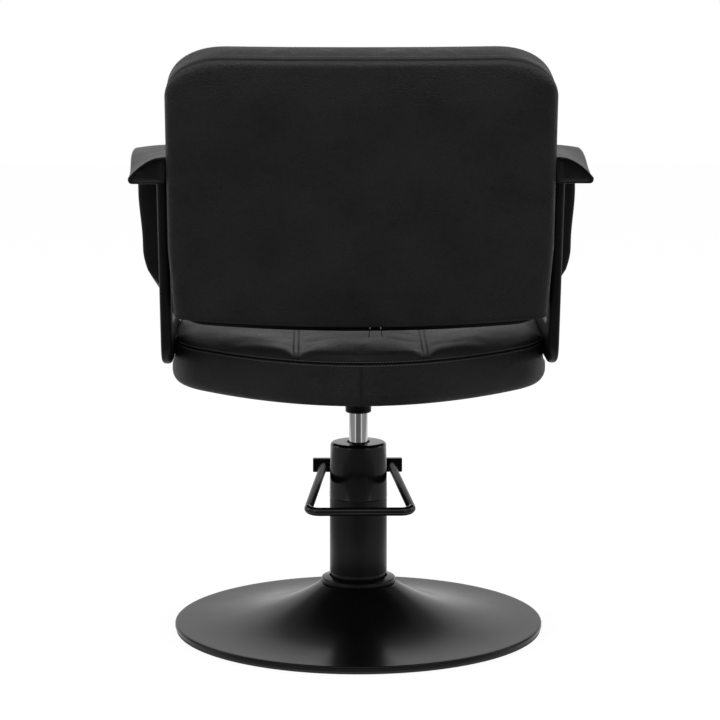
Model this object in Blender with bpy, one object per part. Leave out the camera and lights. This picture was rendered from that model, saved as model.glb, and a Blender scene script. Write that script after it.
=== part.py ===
"""Hairdressing chair: trumpet base, pedal pump, lift rod, upholstered seat and back, moulded arms.

Metres, +Z up. The origin is on the floor, on the column's axis, and the sitter faces -Y.
Each sub-part is one object. Moving groups hang from empties on their joint axes.
"""

from math import cos, exp, pi, radians, sin, sqrt, tan

import bmesh
import bpy
from mathutils import Vector

# Clearances
GAP = 0.0003
RUN = 0.0006

# Base: a spun steel dish on a rubber ring
BASE_DIAMETER = 0.580
BASE_SHEET = 0.003
RIM_TOP = 0.012
RIM_ROUND = 0.0025
NECK_TOP = 0.0715
NECK_RADIUS = 0.0600
NECK_HOLE_RADIUS = 0.0120
TRUMPET_POWER = 2.6
FLOOR_RING_HEIGHT = 0.005
FLOOR_RING_WIDTH = 0.014
FLOOR_RING_INSET = 0.0015
FLOOR_RING_LIP = 0.003
BACKING_RADIUS = 0.0500
BACKING_THICKNESS = 0.006
BASE_BOLT_CIRCLE_RADIUS = 0.0330
BASE_BOLT_SHANK_RADIUS = 0.0040
BASE_BOLT_HEAD_RADIUS = 0.0070
BASE_BOLT_HEAD_HEIGHT = 0.0055
BASE_BOLT_GRIP = 0.012

# Pump column
TUBE_RADIUS = 0.0450
TUBE_WALL = 0.0025
COLLAR_RADIUS = 0.0583
COLLAR_HEIGHT = 0.0113
COLLAR_ROUND = 0.0035
COLLAR_RECESS = 0.0030
COVER_SEAM_Z = 0.2095
COVER_TOP_Z = 0.2970
COVER_LOW_RADIUS = 0.0456
COVER_TOP_RADIUS = 0.0440
COVER_ROUND = 0.0055
COVER_WALL = 0.0025
FOOT_HEIGHT = 0.0220
CYLINDER_RADIUS = 0.0275
CYLINDER_WALL = 0.0050
CYLINDER_SEAT = 0.0060
HEAD_HEIGHT = 0.0300
BUSH_WALL = 0.0024
BUSH_HEIGHT = 0.0200
BUSH_RISE = 0.0008

# Lift rod and piston
ROD_RADIUS = 0.0147
ROD_SPIGOT_RADIUS = 0.0090
ROD_SPIGOT_LENGTH = 0.0080
PISTON_HEIGHT = 0.0180
PISTON_FLOOR = 0.0030
SEAL_RADIUS = 0.0022

# Pedal
PEDAL_PIVOT_Y = -0.0620
PEDAL_PIVOT_Z = 0.2440
PEDAL_PIN_RADIUS = 0.0040
PEDAL_PIN_HEAD_RADIUS = 0.0056
PEDAL_PIN_HEAD = 0.0020
CROSS_BAR_LENGTH = 0.1430
CROSS_BAR_HEIGHT = 0.0220
CROSS_BAR_THICKNESS = 0.0120
CROSS_BAR_REACH = 0.0120
TONGUE_WIDTH = 0.0190
TONGUE_HEIGHT = 0.0110
TONGUE_LENGTH = 0.0310
EAR_THICKNESS = 0.0070
EAR_RADIUS = 0.0085
EAR_WEB = 0.0060
WEB_CLEARANCE = 0.0040
WINDOW_CLEARANCE = 0.0030
PEDAL_BAR_RADIUS = 0.0065
PEDAL_BAR_TOP_X = 0.0545
PEDAL_BAR_LOW_X = 0.0780
PEDAL_BAR_REACH_Y = 0.1650
PEDAL_BAR_LOW_Z = 0.2175
PEDAL_BEND_RADIUS = 0.0170

# Plunger that the pedal pushes
PLUNGER_RADIUS = 0.0042
PLUNGER_FLANGE_RADIUS = 0.0062
PLUNGER_FLANGE = 0.0030
PLUNGER_NOSE = 0.0030
PLUNGER_LENGTH = 0.0700
BARREL_RADIUS = 0.0068
BARREL_LENGTH = 0.0550
BARREL_TOP_Z = 0.2050
SPRING_WIRE_RADIUS = 0.0008
SPRING_TURNS = 6

# Seat socket and plate
SOCKET_RADIUS = 0.0204
SOCKET_LOW_Z = 0.3436
SOCKET_CHAMFER = 0.0030
SET_SCREW_RADIUS = 0.0030
SET_SCREW_RISE = 0.0070
SEAT_PIVOT_Z = 0.4045
SEAT_TILT = radians(3.0)
PLATE_WIDTH = 0.2000
PLATE_DEPTH = 0.1800
PLATE_THICKNESS = 0.0060
PLATE_CORNER = 0.0150
PLATE_BOLT_X = 0.0780
PLATE_BOLT_Y = 0.0680
PLATE_BOLT_SHANK_RADIUS = 0.0040
PLATE_BOLT_HEAD_RADIUS = 0.0075
PLATE_BOLT_HEAD_HEIGHT = 0.0050
PLATE_BOLT_GRIP = 0.0110

# Seat cushion, in the tilted seat frame
SEAT_HALF_WIDTH = 0.2785
SEAT_FRONT_Y = -0.2950
SEAT_SIDE_REAR_Y = 0.1000
SEAT_REAR_BOW = 0.1500
SEAT_FRONT_BOW = 0.0120
SEAT_CORNER = 0.0640
SEAT_LOW = 0.0030
SEAT_SEAM = 0.0685
SEAT_BULGE = 0.0030
SEAT_TUCK = 0.0080
SEAT_HEM = 0.0040
SEAT_ROLL = 0.0060
SEAT_ROLL_LENGTH = 0.0180
SEAT_CROWN = 0.0140
SEAT_PANEL_HALF = 0.0960
SEAT_CHANNEL_DEPTH = 0.0060
SEAT_CHANNEL_WIDTH = 0.0080
SEAT_COVER_WALL = 0.0040
SEAT_POCKET_DEPTH = 0.0060
SEAT_DOME_SHARE = 0.60
SEAT_DOME = 0.0120
SEAT_BOARD = 0.0150
SEAT_BOARD_INSET = 0.0105
SEAT_RAIL_WIDTH = 0.0280
SEAT_RAIL_HEIGHT = 0.0360
SEAT_RAIL_LENGTH = 0.1250
SEAT_RAIL_END_ROOM = 0.0160
DUST_COVER = 0.0010
DUST_COVER_INSET = 0.0150

# Back, in the reclined back frame: x across, y up the back, z towards the sitter
BACK_FOOT_Y = 0.2230
BACK_FOOT_Z = 0.5230
BACK_RECLINE = radians(11.0)
BACK_HEIGHT = 0.3910
BACK_WIDER_BY = 0.0015
REAR_PANEL_WIDER_BY = 0.0025
BACK_LOW_TAPER = 0.0100
BACK_TAPER_HEIGHT = 0.1000
BACK_TOP_CORNER = 0.0720
BACK_LOW_CORNER = 0.0140
BACK_TOP_DIP = 0.0030
BACK_LOW_BOW = 0.0140
BACK_DEPTH = 0.0900
BACK_BULGE = 0.0015
BACK_ROLL = 0.0050
BACK_ROLL_LENGTH = 0.0180
BACK_CROWN = 0.0100
BACK_PANEL_HALF = 0.0960
BACK_CHANNEL_DEPTH = 0.0050
BACK_CHANNEL_WIDTH = 0.0080
BACK_COVER_WALL = 0.0045
BACK_POCKET_DEPTH = 0.0060
BACK_DOME_SHARE = 0.60
BACK_DOME = 0.0080
REAR_PANEL = 0.0100
REAR_PANEL_ROLL = 0.0050
REAR_PANEL_CROWN = 0.0040
BACK_BOARD = 0.0150
BACK_BOARD_CENTRE = 0.0480

# Arms, left one described, in world axes
ARM_BAR_THICKNESS = 0.0190
ARM_BAR_ROUND = 0.0070
UPRIGHT_TOP_REAR_Y = 0.2440
UPRIGHT_TOP_FRONT_Y = 0.2060
UPRIGHT_TOP_Z = 0.7480
RAIL_REAR_Y = 0.1660
RAIL_INNER_Y = 0.1340
RAIL_FRONT_Y = -0.0850
RAIL_LOW_Z = 0.4430
RAIL_TOP_Z = 0.5050
RAIL_OUTER_ROUND = 0.0420
RAIL_INNER_ROUND = 0.0300
PAD_REAR_Y = 0.2470
PAD_FRONT_Y = -0.1500
PAD_MID_Z = 0.7440
LEG_FOOT_Y = -0.0960
LEG_BEND_RADIUS = 0.0500
FOOT_BEND_RADIUS = 0.0800
WING_TAIL_Y = -0.0100
WING_SKIN = 0.0012
PAD_REAR_WIDTH = 0.0597
PAD_FRONT_WIDTH = 0.0712
LEG_TOP_WIDTH = 0.0672
LEG_LOW_WIDTH = 0.0597
PAD_REAR_HALF = 0.0200
PAD_FRONT_HALF = 0.0130
LEG_HALF = 0.0130
PAD_REAR_DROOP = 0.0340
PAD_FRONT_DROOP = 0.0060
PAD_RECESS = 0.0030
WING_EDGE_SHARE = 0.35
WING_HEEL_SHARE = 0.60
WING_DROOP_POWER = 2.1
ARM_BOLT_SHANK_RADIUS = 0.0040
ARM_BOLT_HEAD_RADIUS = 0.0072
ARM_BOLT_HEAD_HEIGHT = 0.0045
ARM_BOLT_SINK = 0.0060
ARM_BOLT_LENGTH = 0.0360
ARM_SEAT_BOLT_INSET = (0.0200, 0.0850)
ARM_SEAT_BOLT_RISE = 0.0460
ARM_BACK_BOLT_RISE = (0.0700, 0.1250)

# Fineness of round shapes
ROUND_STEPS = 32
INNER_STEPS = 24
SMALL_STEPS = 16
BOLT_STEPS = 10
DISH_STEPS = 54
DISH_RINGS = 8
CUSHION_ROWS = 10
SMOOTH_ANGLE = radians(35)
MERGE = 1e-6

BASE_RADIUS = BASE_DIAMETER / 2
BORE_RADIUS = CYLINDER_RADIUS - CYLINDER_WALL
COLUMN_FOOT_Z = NECK_TOP + GAP
FOOT_TOP_Z = COLUMN_FOOT_Z + FOOT_HEIGHT
CYLINDER_FOOT_Z = FOOT_TOP_Z - CYLINDER_SEAT + GAP
HEAD_TOP_Z = COVER_TOP_Z - COVER_WALL - GAP
HEAD_RADIUS = COVER_TOP_RADIUS - COVER_WALL - GAP
HEAD_LOW_Z = HEAD_TOP_Z - HEAD_HEIGHT
CYLINDER_TOP_Z = HEAD_LOW_Z + CYLINDER_SEAT - GAP
BUSH_RADIUS = ROD_RADIUS + RUN + BUSH_WALL
PISTON_LOW_Z = FOOT_TOP_Z + PISTON_FLOOR
PISTON_TOP_Z = PISTON_LOW_Z + PISTON_HEIGHT
ROD_TOP_Z = SEAT_PIVOT_Z - SOCKET_RADIUS * tan(SEAT_TILT) - GAP
PLUNGER_Y = -(CYLINDER_RADIUS + GAP + BARREL_RADIUS)
PLUNGER_TOP_Z = PEDAL_PIVOT_Z - TONGUE_HEIGHT / 2 - GAP
CROSS_BAR_REAR_Y = PEDAL_PIVOT_Y - CROSS_BAR_REACH
EAR_INNER_X = TONGUE_WIDTH / 2 + RUN
EAR_OUTER_X = EAR_INNER_X + EAR_THICKNESS
WEB_LOW_Z = PEDAL_PIVOT_Z + TONGUE_HEIGHT / 2 + WEB_CLEARANCE
WEB_FRONT_Y = PEDAL_PIVOT_Y + EAR_RADIUS
SEAT_BOARD_LOW = PLATE_THICKNESS + GAP
SEAT_BOARD_TOP = SEAT_BOARD_LOW + SEAT_BOARD
SEAT_POCKET_TOP = SEAT_SEAM - SEAT_POCKET_DEPTH
SEAT_RAIL_REAR_Y = SEAT_SIDE_REAR_Y - SEAT_CORNER - SEAT_RAIL_END_ROOM
BACK_HALF_WIDTH = SEAT_HALF_WIDTH + BACK_WIDER_BY
BACK_REAR_HALF_WIDTH = BACK_HALF_WIDTH + REAR_PANEL_WIDER_BY
ARM_INNER_X = max(SEAT_HALF_WIDTH + SEAT_BULGE, BACK_HALF_WIDTH + BACK_BULGE) + GAP
ARM_OUTER_X = ARM_INNER_X + ARM_BAR_THICKNESS
BACK_COVER_LOW = REAR_PANEL + GAP
BACK_POCKET_TOP = BACK_DEPTH - BACK_POCKET_DEPTH
BACK_BOARD_LOW = BACK_BOARD_CENTRE - BACK_BOARD / 2
BACK_BOARD_TOP = BACK_BOARD_CENTRE + BACK_BOARD / 2

BLACK_PAINT = ("black_paint", (0.012, 0.012, 0.012, 1.0), 0.32, 0.0)
GLOSS_BLACK = ("gloss_black", (0.008, 0.008, 0.008, 1.0), 0.12, 0.0)
CHROME = ("chrome", (0.75, 0.75, 0.76, 1.0), 0.10, 1.0)
STEEL = ("steel", (0.45, 0.45, 0.46, 1.0), 0.35, 1.0)
ZINC = ("zinc", (0.55, 0.55, 0.54, 1.0), 0.38, 1.0)
RUBBER = ("rubber", (0.018, 0.018, 0.018, 1.0), 0.80, 0.0)
LEATHERETTE = ("leatherette", (0.013, 0.013, 0.014, 1.0), 0.42, 0.0)
FOAM = ("foam", (0.75, 0.70, 0.55, 1.0), 0.90, 0.0)
PLYWOOD = ("plywood", (0.55, 0.40, 0.24, 1.0), 0.65, 0.0)
DUST_CLOTH = ("dust_cloth", (0.020, 0.020, 0.020, 1.0), 0.90, 0.0)
MOULDED = ("moulded_black", (0.014, 0.014, 0.014, 1.0), 0.38, 0.0)


# Shared tools


def clear_scene():
    """Removes whatever the open file holds."""
    for old in list(bpy.data.objects):
        bpy.data.objects.remove(old, do_unlink=True)


def material(look):
    """The Principled material of a look, made once."""
    name, colour, roughness, metallic = look
    found = bpy.data.materials.get(name)
    if found:
        return found
    made = bpy.data.materials.new(name)
    made.use_nodes = True
    shader = made.node_tree.nodes["Principled BSDF"]
    shader.inputs["Base Color"].default_value = colour
    shader.inputs["Roughness"].default_value = roughness
    shader.inputs["Metallic"].default_value = metallic
    made.diffuse_color = colour
    return made


def place(obj, parent=None, at=(0.0, 0.0, 0.0), turn=(0.0, 0.0, 0.0)):
    """Links an object and puts it in its parent's frame."""
    bpy.context.scene.collection.objects.link(obj)
    obj.parent = parent
    obj.location = at
    obj.rotation_euler = turn
    return obj


def empty(name, parent=None, at=(0.0, 0.0, 0.0), turn=(0.0, 0.0, 0.0)):
    """A bare frame that carries a group of pieces."""
    return place(bpy.data.objects.new(name, None), parent, at, turn)


def finish(name, bm, look, parent=None, at=(0.0, 0.0, 0.0), turn=(0.0, 0.0, 0.0)):
    """Turns a bmesh into a named object with outward faces and smooth round sides."""
    bmesh.ops.remove_doubles(bm, verts=bm.verts, dist=MERGE)
    bmesh.ops.recalc_face_normals(bm, faces=bm.faces)
    mesh = bpy.data.meshes.new(name)
    bm.to_mesh(mesh)
    bm.free()
    mesh.shade_smooth()
    mesh.set_sharp_from_angle(angle=SMOOTH_ANGLE)
    if look:
        mesh.materials.append(material(look))
    return place(bpy.data.objects.new(name, mesh), parent, at, turn)


def spun(profile, steps):
    """A solid of revolution about Z from a closed (radius, height) outline, or one that ends on the axis."""
    bm = bmesh.new()
    verts = [bm.verts.new((radius, 0.0, height)) for radius, height in profile]
    hollow = all(radius > MERGE for radius, _ in profile)
    ends = verts[1:] + verts[:1] if hollow else verts[1:]
    edges = [bm.edges.new(pair) for pair in zip(verts, ends)]
    bmesh.ops.spin(bm, geom=verts + edges, cent=(0, 0, 0), axis=(0, 0, 1), angle=2 * pi,
                   steps=steps, use_merge=True)
    return bm


def loft(rings, closed=False):
    """Skins rings of points that have the same count, with flat ends unless the rings close on themselves."""
    bm = bmesh.new()
    loops = [[bm.verts.new(point) for point in ring] for ring in rings]
    pairs = list(zip(loops, loops[1:]))
    if closed:
        pairs.append((loops[-1], loops[0]))
    for low, high in pairs:
        for i in range(len(low)):
            k = (i + 1) % len(low)
            bm.faces.new((low[i], low[k], high[k], high[i]))
    if not closed:
        bm.faces.new(loops[0])
        bm.faces.new(loops[-1])
    return bm


def at_height(outline, height):
    """Puts a flat outline at a height."""
    return [(x, y, height) for x, y in outline]


def box(width, depth, low, high, centre_x=0.0, centre_y=0.0):
    """A block between two heights."""
    outline = [(centre_x + sx * width / 2, centre_y + sy * depth / 2)
               for sx, sy in ((-1, -1), (1, -1), (1, 1), (-1, 1))]
    return loft([at_height(outline, low), at_height(outline, high)])


def rounded(corners, steps=5):
    """A closed outline from corners (x, y, radius), each radius an arc."""
    points = []
    count = len(corners)
    for i, (x, y, radius) in enumerate(corners):
        here = Vector((x, y))
        before = (Vector(corners[i - 1][:2]) - here).normalized()
        after = (Vector(corners[(i + 1) % count][:2]) - here).normalized()
        points += bend(here, before, after, radius, steps)
    return points


def bend(here, before, after, radius, steps):
    """The points of one round corner, in two or three dimensions."""
    if radius <= 0:
        return [here]
    half = before.angle(after) / 2
    reach = radius / tan(half)
    centre = here + (before + after).normalized() * (radius / sin(half))
    start = here + before * reach - centre
    end = here + after * reach - centre
    sweep = start.angle(end)
    return [centre + (start * sin((1 - t) * sweep) + end * sin(t * sweep)) / sin(sweep)
            for t in (k / steps for k in range(steps + 1))]


def offset(outline, outset):
    """Moves a counter-clockwise outline outwards, or inwards if negative, its sides kept parallel."""
    moved = []
    for i, point in enumerate(outline):
        here = Vector(point)
        arrives = (here - Vector(outline[i - 1])).normalized()
        leaves = (Vector(outline[(i + 1) % len(outline)]) - here).normalized()
        normal = Vector((arrives.y + leaves.y, -arrives.x - leaves.x))
        moved.append(tuple(here + normal * (outset / (1 + arrives.dot(leaves)))))
    return moved


def shrunk(outline, share):
    """An outline drawn in towards its centre."""
    middle_x = sum(x for x, _ in outline) / len(outline)
    middle_y = sum(y for _, y in outline) / len(outline)
    return [(middle_x + share * (x - middle_x), middle_y + share * (y - middle_y)) for x, y in outline]


def cut(target, cutter, operation="DIFFERENCE"):
    """Cuts an object with another, or joins them, and hides the tool."""
    modifier = target.modifiers.new(cutter.name, "BOOLEAN")
    modifier.operation = operation
    modifier.solver = "EXACT"
    modifier.object = cutter
    cutter.hide_render = True
    cutter.display_type = "WIRE"


def soften(target, width, segments=2):
    """Rounds an object's sharp edges."""
    modifier = target.modifiers.new("soft_edges", "BEVEL")
    modifier.width = width
    modifier.segments = segments
    modifier.limit_method = "ANGLE"
    modifier.angle_limit = SMOOTH_ANGLE


def bolt_profile(head_radius, head_height, shank_radius, length):
    """Outline of a bolt along Z: the head above zero, the shank below."""
    return [(0.0, head_height), (0.7 * head_radius, head_height), (head_radius, 0.45 * head_height),
            (head_radius, 0.0), (shank_radius, 0.0), (shank_radius, -length), (0.0, -length)]


def bolt_hole_profile(head_radius, shank_radius, length, reach):
    """Outline of the hole for a bolt: a sunk place for its head, open outwards, and the shank's way."""
    return [(0.0, reach), (head_radius + RUN, reach), (head_radius + RUN, -GAP),
            (shank_radius + GAP, -GAP), (shank_radius + GAP, -length - RUN), (0.0, -length - RUN)]


def smooth_step(share):
    """Eases from 0 to 1."""
    share = min(max(share, 0.0), 1.0)
    return share * share * (3 - 2 * share)


# Cushions: a face on a grid, sides that go round to a pocket at the back


def cosine_rows(count):
    """Shares from 0 to 1 that crowd towards both ends."""
    return [0.5 - 0.5 * cos(pi * k / count) for k in range(count + 1)]


def cushion_columns(half, corner, panel_half, channel):
    """Places across a cushion: close together at the corners and at both channels."""
    arc = [half - corner + corner * sin(pi / 2 * k / 5) for k in range(6)]
    side = panel_half + channel + (half - corner - panel_half - channel) / 2
    sewn = [panel_half - channel, panel_half, panel_half + channel] if channel else [panel_half]
    right = [panel_half / 2] + sewn + [side] + arc
    return [-x for x in reversed(right)] + [0.0] + right


def corner_drop(x, half, corner):
    """How far a round corner draws the edge in at a place across."""
    past = abs(x) - (half - corner)
    return corner - sqrt(max(corner * corner - past * past, 0.0)) if past > 0 else 0.0


def cushion_grid(columns, rows, bounds):
    """Points of the cushion's face seen flat, column by column."""
    return [[(x, low + (high - low) * v) for v in rows]
            for x in columns for low, high in (bounds(x),)]


def grid_edge(grid):
    """The grid's outer points, counter-clockwise."""
    low = [column[0] for column in grid]
    high = [column[-1] for column in grid]
    return low + list(grid[-1][1:-1]) + high[::-1] + list(grid[0][1:-1])[::-1]


def cushion(grid, height, sides, pocket, shape=lambda x, y: (x, y)):
    """A cushion cover: its face, its sides as (outset, height) rings, and its pocket's inner rings."""
    bm = bmesh.new()
    face = [[bm.verts.new((*shape(x, y), height(x, y))) for x, y in column] for column in grid]
    for left, right in zip(face, face[1:]):
        for j in range(len(left) - 1):
            bm.faces.new((left[j], right[j], right[j + 1], left[j + 1]))
    last = grid_edge(face)
    outline = [shape(x, y) for x, y in grid_edge(grid)]
    rings = [at_height(offset(outline, outset), level) for outset, level in sides] + pocket
    for ring in rings:
        verts = [bm.verts.new(point) for point in ring]
        for i in range(len(verts)):
            k = (i + 1) % len(verts)
            bm.faces.new((last[i], last[k], verts[k], verts[i]))
        last = verts
    bm.faces.new(last)
    return bm


def pillow(x, y, low, high, half, roll, roll_length, crown):
    """Height of a stuffed face above its seam: a quick roll at the edge and a slow crown."""
    edge = max(min(half - abs(x), high - y, y - low), 0.0)
    rise = 1 - exp(-edge / roll_length)
    across = 1 - (x / half) ** 2
    along = 1 - ((2 * y - low - high) / (high - low)) ** 2
    return rise, roll * rise + crown * across * along


def channel_dip(x, panel_half, width):
    """How much of the sewn channel's depth is felt at a place across."""
    return exp(-((abs(x) - panel_half) / width) ** 2)


# Base


def trumpet_height(radius):
    """Height of the dish's upper face."""
    share = (BASE_RADIUS - radius) / (BASE_RADIUS - NECK_RADIUS)
    return RIM_TOP + (NECK_TOP - RIM_TOP) * share ** TRUMPET_POWER


def trumpet_drop(radius):
    """The sheet's thickness measured straight down, where the dish slopes."""
    share = (BASE_RADIUS - radius) / (BASE_RADIUS - NECK_RADIUS)
    slope = TRUMPET_POWER * (NECK_TOP - RIM_TOP) / (BASE_RADIUS - NECK_RADIUS) * share ** (TRUMPET_POWER - 1)
    return BASE_SHEET * sqrt(1 + slope * slope)


def make_base_dish(parent):
    """The spun dish: flat neck, trumpet flare and a turned-down rim."""
    lip_low = FLOOR_RING_HEIGHT + GAP
    reach = BASE_RADIUS - RIM_ROUND - NECK_RADIUS
    flare = [NECK_RADIUS + reach * (k / DISH_RINGS) ** 1.3 for k in range(DISH_RINGS + 1)]
    inner = BASE_RADIUS - BASE_SHEET
    under = [r for r in flare if r < inner - BASE_SHEET]
    profile = [(NECK_HOLE_RADIUS, NECK_TOP)]
    profile += [(r, trumpet_height(r)) for r in flare]
    profile += [(BASE_RADIUS, RIM_TOP - RIM_ROUND), (BASE_RADIUS, lip_low), (inner, lip_low)]
    profile += [(inner, trumpet_height(inner) - BASE_SHEET)]
    profile += [(r, trumpet_height(r) - trumpet_drop(r)) for r in reversed(under[1::2])]
    profile += [(NECK_RADIUS - BASE_SHEET, NECK_TOP - BASE_SHEET), (NECK_HOLE_RADIUS, NECK_TOP - BASE_SHEET)]
    return finish("base_dish", spun(profile, DISH_STEPS), BLACK_PAINT, parent)


def make_floor_ring(parent):
    """The rubber ring that the rim stands on, with a lip inside the rim."""
    outer = BASE_RADIUS - FLOOR_RING_INSET
    inner = outer - FLOOR_RING_WIDTH
    step = BASE_RADIUS - BASE_SHEET - GAP
    profile = [(inner, FLOOR_RING_HEIGHT + FLOOR_RING_LIP), (step, FLOOR_RING_HEIGHT + FLOOR_RING_LIP),
               (step, FLOOR_RING_HEIGHT), (outer, FLOOR_RING_HEIGHT), (outer, 0.0), (inner, 0.0)]
    return finish("floor_ring", spun(profile, DISH_STEPS), RUBBER, parent)


def base_bolt_places():
    """Centres of the four bolts under the neck."""
    reach = BASE_BOLT_CIRCLE_RADIUS
    return [(reach * cos(pi / 4 + pi / 2 * k), reach * sin(pi / 4 + pi / 2 * k))
            for k in range(4)]


def make_base_fixing(parent, dish):
    """Backing plate, pump foot and the four bolts that pull them together through the neck."""
    plate_top = NECK_TOP - BASE_SHEET - GAP
    plate_low = plate_top - BACKING_THICKNESS
    plate = finish("backing_plate", spun(
        [(NECK_HOLE_RADIUS, plate_top), (BACKING_RADIUS, plate_top), (BACKING_RADIUS, plate_low),
         (NECK_HOLE_RADIUS, plate_low)], INNER_STEPS), STEEL, parent)
    seat = CYLINDER_RADIUS + GAP
    foot_radius = TUBE_RADIUS - TUBE_WALL - GAP
    foot = finish("pump_foot", spun(
        [(0.0, FOOT_TOP_Z - CYLINDER_SEAT), (seat, FOOT_TOP_Z - CYLINDER_SEAT), (seat, FOOT_TOP_Z),
         (foot_radius, FOOT_TOP_Z), (foot_radius, COLUMN_FOOT_Z), (0.0, COLUMN_FOOT_Z)], INNER_STEPS),
        STEEL, parent)
    length = plate_top - plate_low + GAP + BASE_SHEET + GAP + BASE_BOLT_GRIP
    shank = bolt_profile(BASE_BOLT_HEAD_RADIUS, BASE_BOLT_HEAD_HEIGHT, BASE_BOLT_SHANK_RADIUS, length)
    hole = bolt_hole_profile(BASE_BOLT_HEAD_RADIUS, BASE_BOLT_SHANK_RADIUS, length, BASE_BOLT_HEAD_HEIGHT)
    for number, (x, y) in enumerate(base_bolt_places(), 1):
        seated = (x, y, plate_low - GAP)
        finish(f"base_bolt_{number}", spun(shank, BOLT_STEPS), ZINC, parent, seated, (pi, 0, 0))
        cutter = finish(f"base_bolt_hole_{number}", spun(hole, BOLT_STEPS), None, parent, seated, (pi, 0, 0))
        for target in (plate, dish, foot):
            cut(target, cutter)


# Pump column


def make_collar(parent):
    """The trim ring at the column's foot, dished round the tube."""
    low = COLUMN_FOOT_Z
    top = low + COLLAR_HEIGHT
    inner = TUBE_RADIUS + GAP
    profile = [(inner, top - COLLAR_RECESS), (inner + COLLAR_RECESS, top),
               (COLLAR_RADIUS - COLLAR_ROUND, top)]
    profile += [(COLLAR_RADIUS - COLLAR_ROUND * (1 - sin(a)), top - COLLAR_ROUND * (1 - cos(a)))
                for a in (radians(30), radians(60), radians(90))]
    profile += [(COLLAR_RADIUS, low), (inner, low)]
    return finish("foot_collar", spun(profile, ROUND_STEPS), GLOSS_BLACK, parent)


def make_lower_tube(parent):
    """The painted tube over the pump's lower half."""
    inner = TUBE_RADIUS - TUBE_WALL
    top = COVER_SEAM_Z - GAP
    profile = [(inner, top), (TUBE_RADIUS, top), (TUBE_RADIUS, COLUMN_FOOT_Z), (inner, COLUMN_FOOT_Z)]
    return finish("lower_tube", spun(profile, ROUND_STEPS), BLACK_PAINT, parent)


def make_upper_cover(parent):
    """The glossy cap over the pump's upper half, with a window at the front for the pedal bracket."""
    hole = BUSH_RADIUS + GAP
    round_centre = (COVER_TOP_RADIUS - COVER_ROUND, COVER_TOP_Z - COVER_ROUND)
    profile = [(hole, COVER_TOP_Z)]
    profile += [(round_centre[0] + COVER_ROUND * sin(a), round_centre[1] + COVER_ROUND * cos(a))
                for a in (radians(22.5 * k) for k in range(5))]
    profile += [(COVER_LOW_RADIUS, COVER_SEAM_Z), (COVER_LOW_RADIUS - COVER_WALL, COVER_SEAM_Z),
                (COVER_TOP_RADIUS - COVER_WALL, COVER_TOP_Z - COVER_ROUND),
                (round_centre[0], COVER_TOP_Z - COVER_WALL), (hole, COVER_TOP_Z - COVER_WALL)]
    cover = finish("upper_cover", spun(profile, ROUND_STEPS), GLOSS_BLACK, parent)
    window = finish("cover_window", box(
        2 * (EAR_OUTER_X + WINDOW_CLEARANCE), COVER_LOW_RADIUS,
        PEDAL_PIVOT_Z - CROSS_BAR_HEIGHT / 2 - WINDOW_CLEARANCE, WEB_LOW_Z + EAR_WEB + GAP,
        centre_y=-COVER_LOW_RADIUS), None, parent)
    cut(cover, window)
    return cover


def make_cylinder(parent):
    """The hydraulic cylinder between the foot and the guide head."""
    profile = [(BORE_RADIUS, CYLINDER_TOP_Z), (CYLINDER_RADIUS, CYLINDER_TOP_Z),
               (CYLINDER_RADIUS, CYLINDER_FOOT_Z), (BORE_RADIUS, CYLINDER_FOOT_Z)]
    return finish("pump_cylinder", spun(profile, INNER_STEPS), STEEL, parent)


def make_guide_head(parent):
    """The head that closes the cylinder and holds the guide bush."""
    seat = CYLINDER_RADIUS + GAP
    bore = ROD_RADIUS + RUN
    bush = BUSH_RADIUS + GAP
    bush_low = COVER_TOP_Z + BUSH_RISE - BUSH_HEIGHT
    chamfer = COVER_ROUND
    profile = [(bush, HEAD_TOP_Z), (HEAD_RADIUS - chamfer, HEAD_TOP_Z), (HEAD_RADIUS, HEAD_TOP_Z - chamfer),
               (HEAD_RADIUS, WEB_LOW_Z + EAR_WEB + GAP),
               (seat + BUSH_WALL, WEB_LOW_Z + EAR_WEB + GAP), (seat + BUSH_WALL, HEAD_LOW_Z),
               (seat, HEAD_LOW_Z),
               (seat, HEAD_LOW_Z + CYLINDER_SEAT), (bore, HEAD_LOW_Z + CYLINDER_SEAT),
               (bore, bush_low - GAP), (bush, bush_low - GAP)]
    return finish("guide_head", spun(profile, INNER_STEPS), STEEL, parent)


def make_bush(parent):
    """The dark guide bush and wiper that rings the rod at the top of the cover."""
    top = COVER_TOP_Z + BUSH_RISE
    inner = ROD_RADIUS + RUN
    profile = [(inner, top), (BUSH_RADIUS, top), (BUSH_RADIUS, top - BUSH_HEIGHT), (inner, top - BUSH_HEIGHT)]
    return finish("rod_bush", spun(profile, ROUND_STEPS), RUBBER, parent)


# Pedal and plunger


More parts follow.
